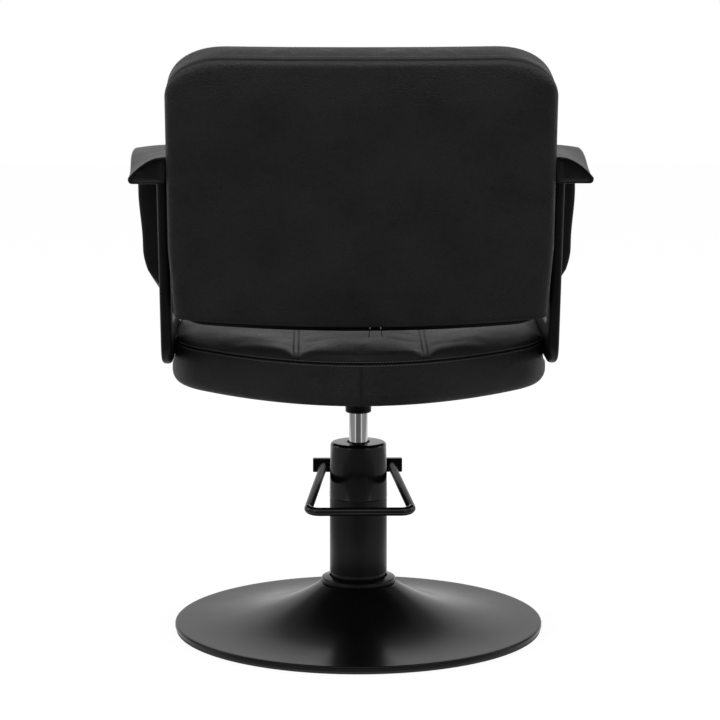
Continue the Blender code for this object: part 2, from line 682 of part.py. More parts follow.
def make_pivot_bracket(parent):
    """Two ears and a web on the front of the cylinder that carry the pedal's pin."""
    ear_width = EAR_OUTER_X - EAR_INNER_X
    root_y = -CYLINDER_RADIUS * 0.6
    low = PEDAL_PIVOT_Z - EAR_RADIUS
    web_top = WEB_LOW_Z + EAR_WEB
    bracket = finish("pivot_bracket", box(2 * EAR_OUTER_X, root_y - WEB_FRONT_Y, WEB_LOW_Z, web_top,
                                          centre_y=(root_y + WEB_FRONT_Y) / 2), STEEL, parent)
    outline = [(root_y, low), (root_y, web_top - GAP), (WEB_FRONT_Y + GAP, web_top - GAP)]
    outline += [(PEDAL_PIVOT_Y + EAR_RADIUS * cos(a), PEDAL_PIVOT_Z + EAR_RADIUS * sin(a))
                for a in (radians(45 + 22.5 * k) for k in range(11))]
    for side in (-1, 1):
        ear_x = side * (EAR_INNER_X + ear_width / 2)
        rings = [[(ear_x + half * ear_width / 2, y, z) for y, z in outline] for half in (-1, 1)]
        ear = finish(f"bracket_ear_{'left' if side > 0 else 'right'}", loft(rings), None, parent)
        cut(bracket, ear, "UNION")
    saddle = finish("bracket_saddle", spun(
        [(0.0, web_top + RUN), (CYLINDER_RADIUS + GAP, web_top + RUN), (CYLINDER_RADIUS + GAP, low - RUN),
         (0.0, low - RUN)], INNER_STEPS), None, parent)
    cut(bracket, saddle)
    cut(bracket, pin_hole("bracket_pin_hole", parent, PEDAL_PIN_RADIUS + GAP))
    return bracket


def pin_hole(name, parent, radius):
    """A cutter along the pedal's axis, longer than the pin."""
    reach = EAR_OUTER_X + PEDAL_PIN_HEAD
    profile = [(0.0, reach), (radius, reach), (radius, -reach), (0.0, -reach)]
    return finish(name, spun(profile, BOLT_STEPS), None, parent,
                  (0, PEDAL_PIVOT_Y, PEDAL_PIVOT_Z), (0, pi / 2, 0))


def make_pivot_pin(parent):
    """The pin through the bracket's ears, headed at both ends."""
    shoulder = EAR_OUTER_X + GAP
    end = shoulder + PEDAL_PIN_HEAD
    profile = [(0.0, end), (PEDAL_PIN_HEAD_RADIUS, end), (PEDAL_PIN_HEAD_RADIUS, shoulder),
               (PEDAL_PIN_RADIUS, shoulder), (PEDAL_PIN_RADIUS, -shoulder),
               (PEDAL_PIN_HEAD_RADIUS, -shoulder),
               (PEDAL_PIN_HEAD_RADIUS, -end), (0.0, -end)]
    return finish("pivot_pin", spun(profile, BOLT_STEPS), ZINC, parent,
                  (0, PEDAL_PIVOT_Y, PEDAL_PIVOT_Z), (0, pi / 2, 0))


def make_cross_bar(axis):
    """The flat bar across the pump, with the tongue that reaches in to the plunger."""
    bar = finish("pedal_cross_bar", box(
        CROSS_BAR_LENGTH, CROSS_BAR_THICKNESS, -CROSS_BAR_HEIGHT / 2, CROSS_BAR_HEIGHT / 2,
        centre_y=-CROSS_BAR_REACH - CROSS_BAR_THICKNESS / 2), BLACK_PAINT, axis)
    soften(bar, 0.0015)
    reach = TONGUE_LENGTH + CROSS_BAR_REACH + CROSS_BAR_THICKNESS / 2
    tongue = finish("cross_bar_tongue", box(
        TONGUE_WIDTH, reach, -TONGUE_HEIGHT / 2, TONGUE_HEIGHT / 2, centre_y=TONGUE_LENGTH - reach / 2),
        None, axis)
    cut(bar, tongue, "UNION")
    cut(bar, pin_hole("tongue_pin_hole", axis.parent, PEDAL_PIN_RADIUS + GAP))
    return bar


def pedal_route():
    """The bent bar's centre line: from the cross bar, back past the column, across and round again."""
    start_y = CROSS_BAR_REAR_Y + GAP
    left = [Vector((PEDAL_BAR_TOP_X, start_y, PEDAL_PIVOT_Z)),
            Vector((PEDAL_BAR_LOW_X, PEDAL_BAR_REACH_Y, PEDAL_BAR_LOW_Z))]
    right = [Vector((-p.x, p.y, p.z)) for p in reversed(left)]
    square = left[0] + Vector((0, PEDAL_BAR_RADIUS, 0))
    corner_left = bend(left[1], (left[0] - left[1]).normalized(), Vector((-1, 0, 0)), PEDAL_BEND_RADIUS, 6)
    corner_right = [Vector((-p.x, p.y, p.z)) for p in reversed(corner_left)]
    far_square = Vector((-square.x, square.y, square.z))
    return [left[0], square] + corner_left + corner_right + [far_square, right[1]]


def make_pedal_bar(axis):
    """The round bar that the foot presses."""
    curve = bpy.data.curves.new("pedal_bar", "CURVE")
    curve.dimensions = "3D"
    curve.bevel_depth = PEDAL_BAR_RADIUS
    curve.bevel_resolution = 4
    curve.use_fill_caps = True
    spline = curve.splines.new("POLY")
    points = pedal_route()
    spline.points.add(len(points) - 1)
    pivot = Vector((0, PEDAL_PIVOT_Y, PEDAL_PIVOT_Z))
    for slot, point in zip(spline.points, points):
        slot.co = (*(point - pivot), 1.0)
    curve.materials.append(material(GLOSS_BLACK))
    return place(bpy.data.objects.new("pedal_bar", curve), axis)


def make_plunger_set(parent, axis):
    """Plunger, its barrel on the cylinder's side and the spring that lifts it."""
    flange_top = -PLUNGER_NOSE
    flange_low = flange_top - PLUNGER_FLANGE
    plunger = [(0.0, 0.0), (0.6 * PLUNGER_RADIUS, 0.0), (PLUNGER_RADIUS, flange_top),
               (PLUNGER_FLANGE_RADIUS, flange_top), (PLUNGER_FLANGE_RADIUS, flange_low),
               (PLUNGER_RADIUS, flange_low), (PLUNGER_RADIUS, -PLUNGER_LENGTH), (0.0, -PLUNGER_LENGTH)]
    finish("pump_plunger", spun(plunger, SMALL_STEPS), CHROME, axis)
    bore = PLUNGER_RADIUS + GAP
    barrel = [(bore, BARREL_TOP_Z), (BARREL_RADIUS, BARREL_TOP_Z),
              (BARREL_RADIUS, BARREL_TOP_Z - BARREL_LENGTH), (bore, BARREL_TOP_Z - BARREL_LENGTH)]
    finish("plunger_barrel", spun(barrel, SMALL_STEPS), STEEL, parent, (0, PLUNGER_Y, 0))
    make_spring(parent, BARREL_TOP_Z + GAP, PLUNGER_TOP_Z + flange_low - GAP)


def make_spring(parent, low, high):
    """The plunger's return spring, with a turn at each end closed up on its seat."""
    radius = PLUNGER_RADIUS + RUN + SPRING_WIRE_RADIUS
    foot = low + SPRING_WIRE_RADIUS
    rise = high - low - 2 * SPRING_WIRE_RADIUS
    points_a_turn = 8
    count = SPRING_TURNS * points_a_turn
    turn = 2 * pi / points_a_turn
    route = [Vector((radius * cos(turn * k), PLUNGER_Y + radius * sin(turn * k), foot + rise * k / count))
             for k in range(count + 1)]
    least = min((route[k] - route[k + points_a_turn]).length for k in range(count + 1 - points_a_turn))
    print(f"plunger_spring least gap between turns {1000 * (least - 2 * SPRING_WIRE_RADIUS):.2f} mm")
    curve = bpy.data.curves.new("plunger_spring", "CURVE")
    curve.dimensions = "3D"
    curve.bevel_depth = SPRING_WIRE_RADIUS
    curve.bevel_resolution = 1
    curve.use_fill_caps = True
    spline = curve.splines.new("POLY")
    spline.points.add(count)
    for slot, point in zip(spline.points, route):
        slot.co = (*point, 1.0)
    curve.materials.append(material(STEEL))
    return place(bpy.data.objects.new("plunger_spring", curve), parent)


# Lift rod


def make_piston(parent):
    """Piston head that rides up the cylinder, and the seal in its groove."""
    radius = BORE_RADIUS - RUN
    groove_z = (PISTON_LOW_Z + PISTON_TOP_Z) / 2
    groove = radius - SEAL_RADIUS
    half = SEAL_RADIUS + GAP
    socket = ROD_SPIGOT_RADIUS + RUN
    floor = PISTON_TOP_Z - ROD_SPIGOT_LENGTH - RUN
    profile = [(0.0, floor), (socket, floor), (socket, PISTON_TOP_Z), (radius, PISTON_TOP_Z),
               (radius, groove_z + half), (groove, groove_z + half), (groove, groove_z - half),
               (radius, groove_z - half), (radius, PISTON_LOW_Z), (0.0, PISTON_LOW_Z)]
    finish("piston_head", spun(profile, INNER_STEPS), STEEL, parent)
    inner = groove + GAP
    outer = BORE_RADIUS - GAP
    seal = [(inner, groove_z + SEAL_RADIUS), (outer, groove_z + SEAL_RADIUS / 2),
            (outer, groove_z - SEAL_RADIUS / 2), (inner, groove_z - SEAL_RADIUS)]
    finish("piston_seal", spun(seal, INNER_STEPS), RUBBER, parent)


def make_rod(parent):
    """The chromed rod: a spigot in the piston, the shaft, and a chamfered top in the seat socket."""
    low = PISTON_TOP_Z + GAP
    profile = [(0.0, ROD_TOP_Z), (ROD_RADIUS - SOCKET_CHAMFER / 2, ROD_TOP_Z),
               (ROD_RADIUS, ROD_TOP_Z - SOCKET_CHAMFER), (ROD_RADIUS, low), (ROD_SPIGOT_RADIUS, low),
               (ROD_SPIGOT_RADIUS, low - ROD_SPIGOT_LENGTH), (0.0, low - ROD_SPIGOT_LENGTH)]
    return finish("lift_rod", spun(profile, ROUND_STEPS), CHROME, parent)


# Seat


def make_socket(parent, seat_frame):
    """The socket that the rod seats in, cut to the plate's tilt, and its set screw."""
    bore = ROD_RADIUS + GAP
    top = SEAT_PIVOT_Z + 2 * SOCKET_RADIUS * tan(SEAT_TILT)
    profile = [(bore, top), (SOCKET_RADIUS, top), (SOCKET_RADIUS, SOCKET_LOW_Z + SOCKET_CHAMFER),
               (SOCKET_RADIUS - SOCKET_CHAMFER, SOCKET_LOW_Z), (bore, SOCKET_LOW_Z)]
    socket = finish("seat_socket", spun(profile, ROUND_STEPS), BLACK_PAINT, parent)
    slope = finish("socket_slope", box(4 * SOCKET_RADIUS, 4 * SOCKET_RADIUS, -GAP, 2 * SOCKET_RADIUS),
                   None, seat_frame)
    cut(socket, slope)
    length = SOCKET_RADIUS - ROD_RADIUS - GAP
    at = (0, SOCKET_RADIUS, SOCKET_LOW_Z + SET_SCREW_RISE)
    screw = [(0.0, -RUN), (SET_SCREW_RADIUS - 2 * GAP, -RUN), (SET_SCREW_RADIUS, -2 * RUN),
             (SET_SCREW_RADIUS, -length), (0.0, -length)]
    finish("set_screw", spun(screw, BOLT_STEPS), STEEL, parent, at, (-pi / 2, 0, 0))
    hole = [(0.0, SOCKET_CHAMFER), (SET_SCREW_RADIUS + GAP, SOCKET_CHAMFER),
            (SET_SCREW_RADIUS + GAP, -length - RUN), (0.0, -length - RUN)]
    cut(socket, finish("set_screw_hole", spun(hole, BOLT_STEPS), None, parent, at, (-pi / 2, 0, 0)))


def plate_corners(width, depth, radius):
    """A rectangle's corners, each with the same radius."""
    return [(sx * width / 2, sy * depth / 2, radius) for sx, sy in ((-1, -1), (1, -1), (1, 1), (-1, 1))]


def seat_bounds(x):
    """Front and rear edge of the seat at a place across."""
    share = 1 - (x / SEAT_HALF_WIDTH) ** 2
    drop = corner_drop(x, SEAT_HALF_WIDTH, SEAT_CORNER)
    return SEAT_FRONT_Y - SEAT_FRONT_BOW * share + drop, SEAT_SIDE_REAR_Y + SEAT_REAR_BOW * share - drop


def seat_height(x, y):
    """The seat's top: three stuffed panels between two sewn channels."""
    low, high = seat_bounds(x)
    rise, stuffed = pillow(x, y, low, high, SEAT_HALF_WIDTH, SEAT_ROLL, SEAT_ROLL_LENGTH, SEAT_CROWN)
    dip = SEAT_CHANNEL_DEPTH * rise * channel_dip(x, SEAT_PANEL_HALF, SEAT_CHANNEL_WIDTH)
    return SEAT_SEAM + stuffed - dip


def seat_grid():
    """The seat's face seen flat."""
    columns = cushion_columns(SEAT_HALF_WIDTH, SEAT_CORNER, SEAT_PANEL_HALF, SEAT_CHANNEL_WIDTH)
    return cushion_grid(columns, cosine_rows(CUSHION_ROWS), seat_bounds)


def make_seat_cover(frame):
    """The leatherette cover: crowned panels, full boxing and a pocket that takes foam and board."""
    grid = seat_grid()
    outline = grid_edge(grid)
    tall = SEAT_SEAM - SEAT_LOW
    sides = [(-0.0010, SEAT_SEAM - 0.0020), (SEAT_BULGE * 0.6, SEAT_SEAM - 0.12 * tall),
             (SEAT_BULGE, SEAT_SEAM - 0.40 * tall), (SEAT_BULGE * 0.5, SEAT_LOW + 0.34 * tall),
             (-0.35 * SEAT_TUCK, SEAT_LOW + 0.14 * tall), (-SEAT_TUCK, SEAT_LOW)]
    inner = offset(outline, -SEAT_COVER_WALL)
    hem = offset(outline, -SEAT_TUCK - SEAT_HEM)
    board_room = offset(outline, -SEAT_BOARD_INSET)
    pocket = [at_height(hem, SEAT_LOW), at_height(board_room, SEAT_BOARD_LOW - GAP),
              at_height(board_room, SEAT_BOARD_TOP), at_height(inner, SEAT_BOARD_TOP),
              at_height(inner, SEAT_POCKET_TOP),
              at_height(shrunk(inner, SEAT_DOME_SHARE), SEAT_POCKET_TOP + SEAT_DOME)]
    return finish("seat_cover", cushion(grid, seat_height, sides, pocket), LEATHERETTE, frame)


def seat_core_outline(inset):
    """The outline of a piece inside the cover, set in from the seat's edge."""
    return offset(grid_edge(seat_grid()), -inset - GAP)


def make_seat_core(frame):
    """Board, foam, side rails and dust cover. Returns the pieces that the arm bolts enter."""
    outline = seat_core_outline(SEAT_COVER_WALL)
    panel = seat_core_outline(SEAT_BOARD_INSET)
    board = finish("seat_board", loft([at_height(panel, SEAT_BOARD_LOW), at_height(panel, SEAT_BOARD_TOP)]),
                   PLYWOOD, frame)
    foam_low = SEAT_BOARD_TOP + GAP
    foam = finish("seat_foam", loft([
        at_height(outline, foam_low), at_height(outline, SEAT_POCKET_TOP - GAP),
        at_height(shrunk(outline, SEAT_DOME_SHARE), SEAT_POCKET_TOP + SEAT_DOME - GAP)]), FOAM, frame)
    outer_x = SEAT_HALF_WIDTH - SEAT_COVER_WALL - GAP
    depth = SEAT_RAIL_LENGTH
    middle_y = SEAT_RAIL_REAR_Y - depth / 2
    rails = {}
    for side, name in ((1, "left"), (-1, "right")):
        centre_x = side * (outer_x - SEAT_RAIL_WIDTH / 2)
        rails[side] = finish(f"seat_rail_{name}", box(
            SEAT_RAIL_WIDTH, depth, foam_low, foam_low + SEAT_RAIL_HEIGHT, centre_x, middle_y),
            PLYWOOD, frame)
        room = finish(f"seat_rail_room_{name}", box(
            SEAT_RAIL_WIDTH + 2 * GAP, depth + 2 * GAP, foam_low - RUN, foam_low + SEAT_RAIL_HEIGHT + GAP,
            centre_x, middle_y), None, frame)
        cut(foam, room)
    dust = offset(outline, -DUST_COVER_INSET)
    sheet = finish("dust_cover", loft([at_height(dust, SEAT_BOARD_LOW - GAP - DUST_COVER),
                                       at_height(dust, SEAT_BOARD_LOW - GAP)]), DUST_CLOTH, frame)
    around = rounded(plate_corners(PLATE_WIDTH + 2 * RUN, PLATE_DEPTH + 2 * RUN, PLATE_CORNER))
    opening = [at_height(around, -RUN), at_height(around, SEAT_BOARD_LOW + RUN)]
    window = finish("dust_cover_window", loft(opening), None, frame)
    cut(sheet, window)
    return board, rails


def make_mount_plate(frame, board):
    """The steel plate between socket and board, and its four bolts."""
    outline = rounded(plate_corners(PLATE_WIDTH, PLATE_DEPTH, PLATE_CORNER))
    plate = finish("mount_plate", loft([at_height(outline, 0.0), at_height(outline, PLATE_THICKNESS)]),
                   BLACK_PAINT, frame)
    length = PLATE_THICKNESS + GAP + PLATE_BOLT_GRIP
    shank = bolt_profile(PLATE_BOLT_HEAD_RADIUS, PLATE_BOLT_HEAD_HEIGHT, PLATE_BOLT_SHANK_RADIUS, length)
    hole = bolt_hole_profile(PLATE_BOLT_HEAD_RADIUS, PLATE_BOLT_SHANK_RADIUS, length, PLATE_BOLT_HEAD_HEIGHT)
    places = [(sx * PLATE_BOLT_X, sy * PLATE_BOLT_Y, -GAP) for sx, sy in ((1, 1), (-1, 1), (-1, -1), (1, -1))]
    for number, at in enumerate(places, 1):
        finish(f"plate_bolt_{number}", spun(shank, BOLT_STEPS), ZINC, frame, at, (pi, 0, 0))
        cutter = finish(f"plate_bolt_hole_{number}", spun(hole, BOLT_STEPS), None, frame, at, (pi, 0, 0))
        cut(plate, cutter)
        cut(board, cutter)


# Back


def back_bounds(half):
    """Lower and upper edge of the back at a place across, for one half width."""
    def bounds(x):
        share = 1 - (x / half) ** 2
        low = corner_drop(x, half, BACK_LOW_CORNER) - BACK_LOW_BOW * share
        high = BACK_HEIGHT - corner_drop(x, half, BACK_TOP_CORNER) - BACK_TOP_DIP * share
        return low, high
    return bounds


def back_shape(x, y):
    """Draws the back's sides in towards its foot."""
    past = smooth_step(1 - y / BACK_TAPER_HEIGHT)
    return x * (1 - BACK_LOW_TAPER / BACK_HALF_WIDTH * past), y


def back_grid(half, channel=BACK_CHANNEL_WIDTH):
    """The back's face seen flat, with or without places for channels."""
    columns = cushion_columns(half, BACK_TOP_CORNER, BACK_PANEL_HALF, channel)
    low_corner = [half - BACK_LOW_CORNER * (1 - sin(pi / 2 * k / 2)) for k in range(2)]
    columns = sorted(columns + low_corner + [-x for x in low_corner])
    spaced = [x for x, after in zip(columns, columns[1:]) if after - x > BACK_COVER_WALL / 4]
    return cushion_grid(spaced + columns[-1:], cosine_rows(CUSHION_ROWS), back_bounds(half))


def back_outline(half, outset=0.0):
    """The back's edge with its taper, moved in or out."""
    return offset([back_shape(x, y) for x, y in grid_edge(back_grid(half))], outset)


def back_front_height(x, y):
    """The back's front: three stuffed panels between two sewn channels."""
    low, high = back_bounds(BACK_HALF_WIDTH)(x)
    rise, stuffed = pillow(x, y, low, high, BACK_HALF_WIDTH, BACK_ROLL, BACK_ROLL_LENGTH, BACK_CROWN)
    dip = BACK_CHANNEL_DEPTH * rise * channel_dip(x, BACK_PANEL_HALF, BACK_CHANNEL_WIDTH)
    return BACK_DEPTH + stuffed - dip


def rear_panel_height(x, y):
    """The rear panel's face: a soft roll inside the seam and a slight crown."""
    low, high = back_bounds(BACK_REAR_HALF_WIDTH)(x)
    _, stuffed = pillow(x, y, low, high, BACK_REAR_HALF_WIDTH, REAR_PANEL_ROLL, BACK_ROLL_LENGTH,
                        REAR_PANEL_CROWN)
    return -stuffed


def make_back(frame):
    """Front cover, rear panel, foams and board. Returns the pieces that the arm bolts enter."""
    grid = back_grid(BACK_HALF_WIDTH)
    deep = BACK_DEPTH - BACK_COVER_LOW
    sides = [(-0.0010, BACK_DEPTH - 0.0020), (BACK_BULGE * 0.6, BACK_DEPTH - 0.12 * deep),
             (BACK_BULGE, BACK_COVER_LOW + 0.5 * deep), (BACK_BULGE * 0.6, BACK_COVER_LOW + 0.1 * deep),
             (-0.0005, BACK_COVER_LOW)]
    inner = back_outline(BACK_HALF_WIDTH, -BACK_COVER_WALL)
    pocket = [at_height(inner, BACK_COVER_LOW), at_height(inner, BACK_POCKET_TOP),
              at_height(shrunk(inner, BACK_DOME_SHARE), BACK_POCKET_TOP + BACK_DOME)]
    skin = cushion(grid, back_front_height, sides, pocket, back_shape)
    cover = finish("back_cover", skin, LEATHERETTE, frame)
    core = back_outline(BACK_HALF_WIDTH, -BACK_COVER_WALL - GAP)
    board = finish("back_board", loft([at_height(core, BACK_BOARD_LOW), at_height(core, BACK_BOARD_TOP)]),
                   PLYWOOD, frame)
    finish("back_front_foam", loft([
        at_height(core, BACK_BOARD_TOP + GAP), at_height(core, BACK_POCKET_TOP - GAP),
        at_height(shrunk(core, BACK_DOME_SHARE), BACK_POCKET_TOP + BACK_DOME - GAP)]), FOAM, frame)
    finish("back_rear_foam", loft([at_height(core, REAR_PANEL + GAP), at_height(core, BACK_BOARD_LOW - GAP)]),
           FOAM, frame)
    rear_sides = [(0.0010, 0.30 * REAR_PANEL), (0.0005, 0.75 * REAR_PANEL), (-0.0020, REAR_PANEL)]
    finish("back_rear_panel", cushion(back_grid(BACK_REAR_HALF_WIDTH, 0.0), rear_panel_height, rear_sides, [],
                                      back_shape), LEATHERETTE, frame)
    return cover, board


# Arms


def upright_and_rail():
    """The arm's thin part seen from the side: rear upright and lower rail, as (y, z)."""
    corners = [(UPRIGHT_TOP_FRONT_Y, UPRIGHT_TOP_Z, 0.0), (RAIL_INNER_Y, RAIL_TOP_Z, RAIL_INNER_ROUND),
               (RAIL_FRONT_Y, RAIL_TOP_Z, 0.0), (RAIL_FRONT_Y, RAIL_LOW_Z, RAIL_OUTER_ROUND / 2),
               (RAIL_REAR_Y, RAIL_LOW_Z, RAIL_OUTER_ROUND), (UPRIGHT_TOP_REAR_Y, UPRIGHT_TOP_Z, 0.0)]
    return [(p[0], p[1]) for p in rounded(corners, 6)]


def thin_part():
    """The thin part as rings across its thickness, with its long edges rounded."""
    outline = upright_and_rail()
    steps = (radians(0), radians(30), radians(60), radians(90))
    low = [(ARM_BAR_ROUND * (1 - sin(a)), ARM_INNER_X + ARM_BAR_ROUND * (1 - cos(a))) for a in steps]
    high = [(inset, ARM_INNER_X + ARM_OUTER_X - x) for inset, x in reversed(low)]
    return [[(x, y, z) for y, z in offset(outline, -inset)] for inset, x in low + high]


def wing_path():
    """The wide part's centre line seen from the side, and the station where each stretch ends."""
    rail_z = (RAIL_LOW_Z + RAIL_TOP_Z) / 2
    corners = [Vector((PAD_REAR_Y, PAD_MID_Z)), Vector((PAD_FRONT_Y, PAD_MID_Z)),
               Vector((LEG_FOOT_Y, rail_z)), Vector((WING_TAIL_Y, rail_z))]
    toward = [(b - a).normalized() for a, b in zip(corners, corners[1:])]
    top = bend(corners[1], -toward[0], toward[1], LEG_BEND_RADIUS, 7)
    foot = bend(corners[2], -toward[1], toward[2], FOOT_BEND_RADIUS, 7)
    pad = [corners[0].lerp(top[0], k / 7) for k in range(7)]
    leg = [top[-1].lerp(foot[0], k / 5) for k in range(1, 5)]
    tail = [foot[-1].lerp(corners[3], k / 2) for k in range(1, 3)]
    foot_start = len(pad) + len(top) + len(leg)
    path = pad + top + leg + foot + tail
    return path, [0, len(pad), len(pad) + len(top) - 1, foot_start, foot_start + len(foot) - 1, len(path) - 1]


def between(marks, values, station):
    """A value at a station, eased between the values at the marks."""
    for (start, end), (low, high) in zip(zip(marks, marks[1:]), zip(values, values[1:])):
        if station <= end:
            return low + (high - low) * smooth_step((station - start) / (end - start))
    return values[-1]


def wing_section(half, droop):
    """The wide part's section as (across, out of the loop): flat below, its top drooping outwards."""
    across_top = (0.0, 0.06, 0.20, 0.40, 0.60, 0.78, 0.92, 1.0)
    top = []
    for p in across_top:
        edge = half * WING_EDGE_SHARE if p in (0.0, 1.0) else 0.0
        top.append((p, half - droop * p ** WING_DROOP_POWER - min(edge, half - droop / 2)))
    across_low = (0.97, 0.75, 0.50, 0.25, 0.04)
    low = [(p, -half) for p in across_low]
    inner = [(0.0, -half * WING_HEEL_SHARE)]
    return top + low + inner


def wing():
    """The arm's wide part: pad, front leg and the taper that runs into the rail."""
    path, marks = wing_path()
    inner_x = ARM_INNER_X + WING_SKIN
    tail_half = (RAIL_TOP_Z - RAIL_LOW_Z) / 2 - 2 * WING_SKIN
    tail_inner = ARM_INNER_X + 2 * WING_SKIN
    tail_outer = ARM_OUTER_X - 2 * WING_SKIN
    widths = [PAD_REAR_WIDTH, PAD_FRONT_WIDTH, LEG_TOP_WIDTH, LEG_LOW_WIDTH]
    outers = [ARM_INNER_X + width for width in widths] + [tail_outer, tail_outer]
    inners = [inner_x, inner_x, inner_x, inner_x, tail_inner, tail_inner]
    halves = [PAD_REAR_HALF, PAD_FRONT_HALF, LEG_HALF, LEG_HALF, tail_half, tail_half]
    droops = [PAD_REAR_DROOP, PAD_FRONT_DROOP, 0.0, 0.0, 0.0, 0.0]
    taper = marks[:3] + [marks[3] - 1, (marks[3] + marks[4]) / 2, marks[5]]
    rings = []
    for station, centre in enumerate(path):
        ahead = path[min(station + 1, len(path) - 1)]
        behind = path[max(station - 1, 0)]
        along = (ahead - behind).normalized()
        out = Vector((along.y, -along.x))
        low = between(taper, inners, station)
        high = between(taper, outers, station)
        section = wing_section(between(marks, halves, station), between(marks, droops, station))
        rings.append([(low + (high - low) * p, centre.x + out.x * q, centre.y + out.y * q)
                      for p, q in section])
    return recessed_end(rings[0]) + rings


def recessed_end(ring):
    """Two rings that sink the pad's rear end inside a rim."""
    middle_x = sum(p[0] for p in ring) / len(ring)
    middle_z = sum(p[2] for p in ring) / len(ring)
    sunk = []
    for share, depth in ((0.76, PAD_RECESS), (0.86, 0.0)):
        sunk.append([(middle_x + share * (x - middle_x), y - depth, middle_z + share * (z - middle_z))
                     for x, y, z in ring])
    return sunk


def mirrored(rings, side):
    """Rings for the left arm as they are, or flipped for the right one."""
    return [[(side * x, y, z) for x, y, z in ring] for ring in rings]


def arm_bolt_places():
    """Where the arm's bolts enter: two over the seat rail and two beside the back board."""
    along = [SEAT_RAIL_REAR_Y - inset for inset in ARM_SEAT_BOLT_INSET]
    seat = [(y * cos(SEAT_TILT) + ARM_SEAT_BOLT_RISE * sin(SEAT_TILT),
             SEAT_PIVOT_Z - y * sin(SEAT_TILT) + ARM_SEAT_BOLT_RISE * cos(SEAT_TILT)) for y in along]
    back = [(BACK_FOOT_Y + rise * sin(BACK_RECLINE) - BACK_BOARD_CENTRE * cos(BACK_RECLINE),
             BACK_FOOT_Z + rise * cos(BACK_RECLINE) + BACK_BOARD_CENTRE * sin(BACK_RECLINE))
            for rise in ARM_BACK_BOLT_RISE]
    return {"seat": seat, "back": back}


def make_arm(name, side, parent, entered, places):
    """One arm, its two seat bolts and its two back bolts, and their holes through what they enter."""
    arm = finish(f"arm_{name}", loft(mirrored(thin_part(), side)), MOULDED, parent)
    cut(arm, finish(f"arm_wing_{name}", loft(mirrored(wing(), side)), None, parent), "UNION")
    shank = bolt_profile(ARM_BOLT_HEAD_RADIUS, ARM_BOLT_HEAD_HEIGHT, ARM_BOLT_SHANK_RADIUS, ARM_BOLT_LENGTH)
    hole = bolt_hole_profile(ARM_BOLT_HEAD_RADIUS, ARM_BOLT_SHANK_RADIUS, ARM_BOLT_LENGTH, ARM_BAR_THICKNESS)
    turn = (0, side * pi / 2, 0)
    for where, spots in places.items():
        for number, (y, z) in enumerate(spots, 1):
            at = (side * (ARM_OUTER_X - ARM_BOLT_SINK), y, z)
            finish(f"arm_{where}_bolt_{name}_{number}", spun(shank, BOLT_STEPS), ZINC, parent, at, turn)
            cutter = finish(f"arm_{where}_hole_{name}_{number}", spun(hole, BOLT_STEPS), None, parent,
                            at, turn)
            for target in [arm] + entered[where]:
                cut(target, cutter)


def main():
    """Builds the chair, from the floor up."""
    clear_scene()
    base = empty("base_frame")
    dish = make_base_dish(base)
    make_floor_ring(base)
    make_base_fixing(base, dish)
    make_collar(base)
    make_lower_tube(base)
    make_upper_cover(base)
    make_cylinder(base)
    make_guide_head(base)
    make_bush(base)
    make_pivot_bracket(base)
    make_pivot_pin(base)
    pedal_axis = empty("pedal_axis", base, (0, PEDAL_PIVOT_Y, PEDAL_PIVOT_Z))
    make_cross_bar(pedal_axis)
    make_pedal_bar(pedal_axis)
    make_plunger_set(base, empty("plunger_axis", base, (0, PLUNGER_Y, PLUNGER_TOP_Z)))
    lift_axis = empty("lift_axis", base)
    make_piston(lift_axis)
    turn_axis = empty("turn_axis", lift_axis)
    make_rod(turn_axis)
    seat_frame = empty("seat_frame", turn_axis, (0, 0, SEAT_PIVOT_Z), (-SEAT_TILT, 0, 0))
    make_socket(turn_axis, seat_frame)
    seat_cover = make_seat_cover(seat_frame)
    seat_board, seat_rails = make_seat_core(seat_frame)
    make_mount_plate(seat_frame, seat_board)
    back_frame = empty("back_frame", turn_axis, (0, BACK_FOOT_Y, BACK_FOOT_Z), (pi / 2 - BACK_RECLINE, 0, 0))
    back_cover, back_board = make_back(back_frame)
    places = arm_bolt_places()
    for name, side in (("left", 1), ("right", -1)):
        entered = {"seat": [seat_cover, seat_rails[side]], "back": [back_cover, back_board]}
        make_arm(name, side, turn_axis, entered, places)


main()
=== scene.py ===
"""Looks of a hairdressing chair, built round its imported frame: sewn covers, moulded arms, pump and base."""

from math import cos, exp, pi, radians, sin, sqrt, tan

import bmesh
import bpy
import numpy as np
from bpy.props import FloatProperty, FloatVectorProperty, IntProperty, PointerProperty
from mathutils import Matrix, Vector
from mathutils.bvhtree import BVHTree


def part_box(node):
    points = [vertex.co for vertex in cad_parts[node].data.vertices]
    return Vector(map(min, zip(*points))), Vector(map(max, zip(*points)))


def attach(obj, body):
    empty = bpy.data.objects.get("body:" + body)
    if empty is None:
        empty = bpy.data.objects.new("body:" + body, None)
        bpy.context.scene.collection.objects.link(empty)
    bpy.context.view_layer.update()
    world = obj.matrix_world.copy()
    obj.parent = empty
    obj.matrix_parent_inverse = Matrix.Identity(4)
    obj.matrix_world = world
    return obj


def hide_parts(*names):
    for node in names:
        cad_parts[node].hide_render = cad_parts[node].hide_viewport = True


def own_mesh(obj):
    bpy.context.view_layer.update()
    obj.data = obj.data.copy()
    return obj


bl_info = {
    "name": "Hairdressing chair",
    "version": (1, 0, 0),
    "blender": (4, 5, 0),
    "location": "3D View > Sidebar > Chair",
    "description": "Builds a hairdressing chair with sewn covers on its packed frame",
    "category": "Add Mesh",
}

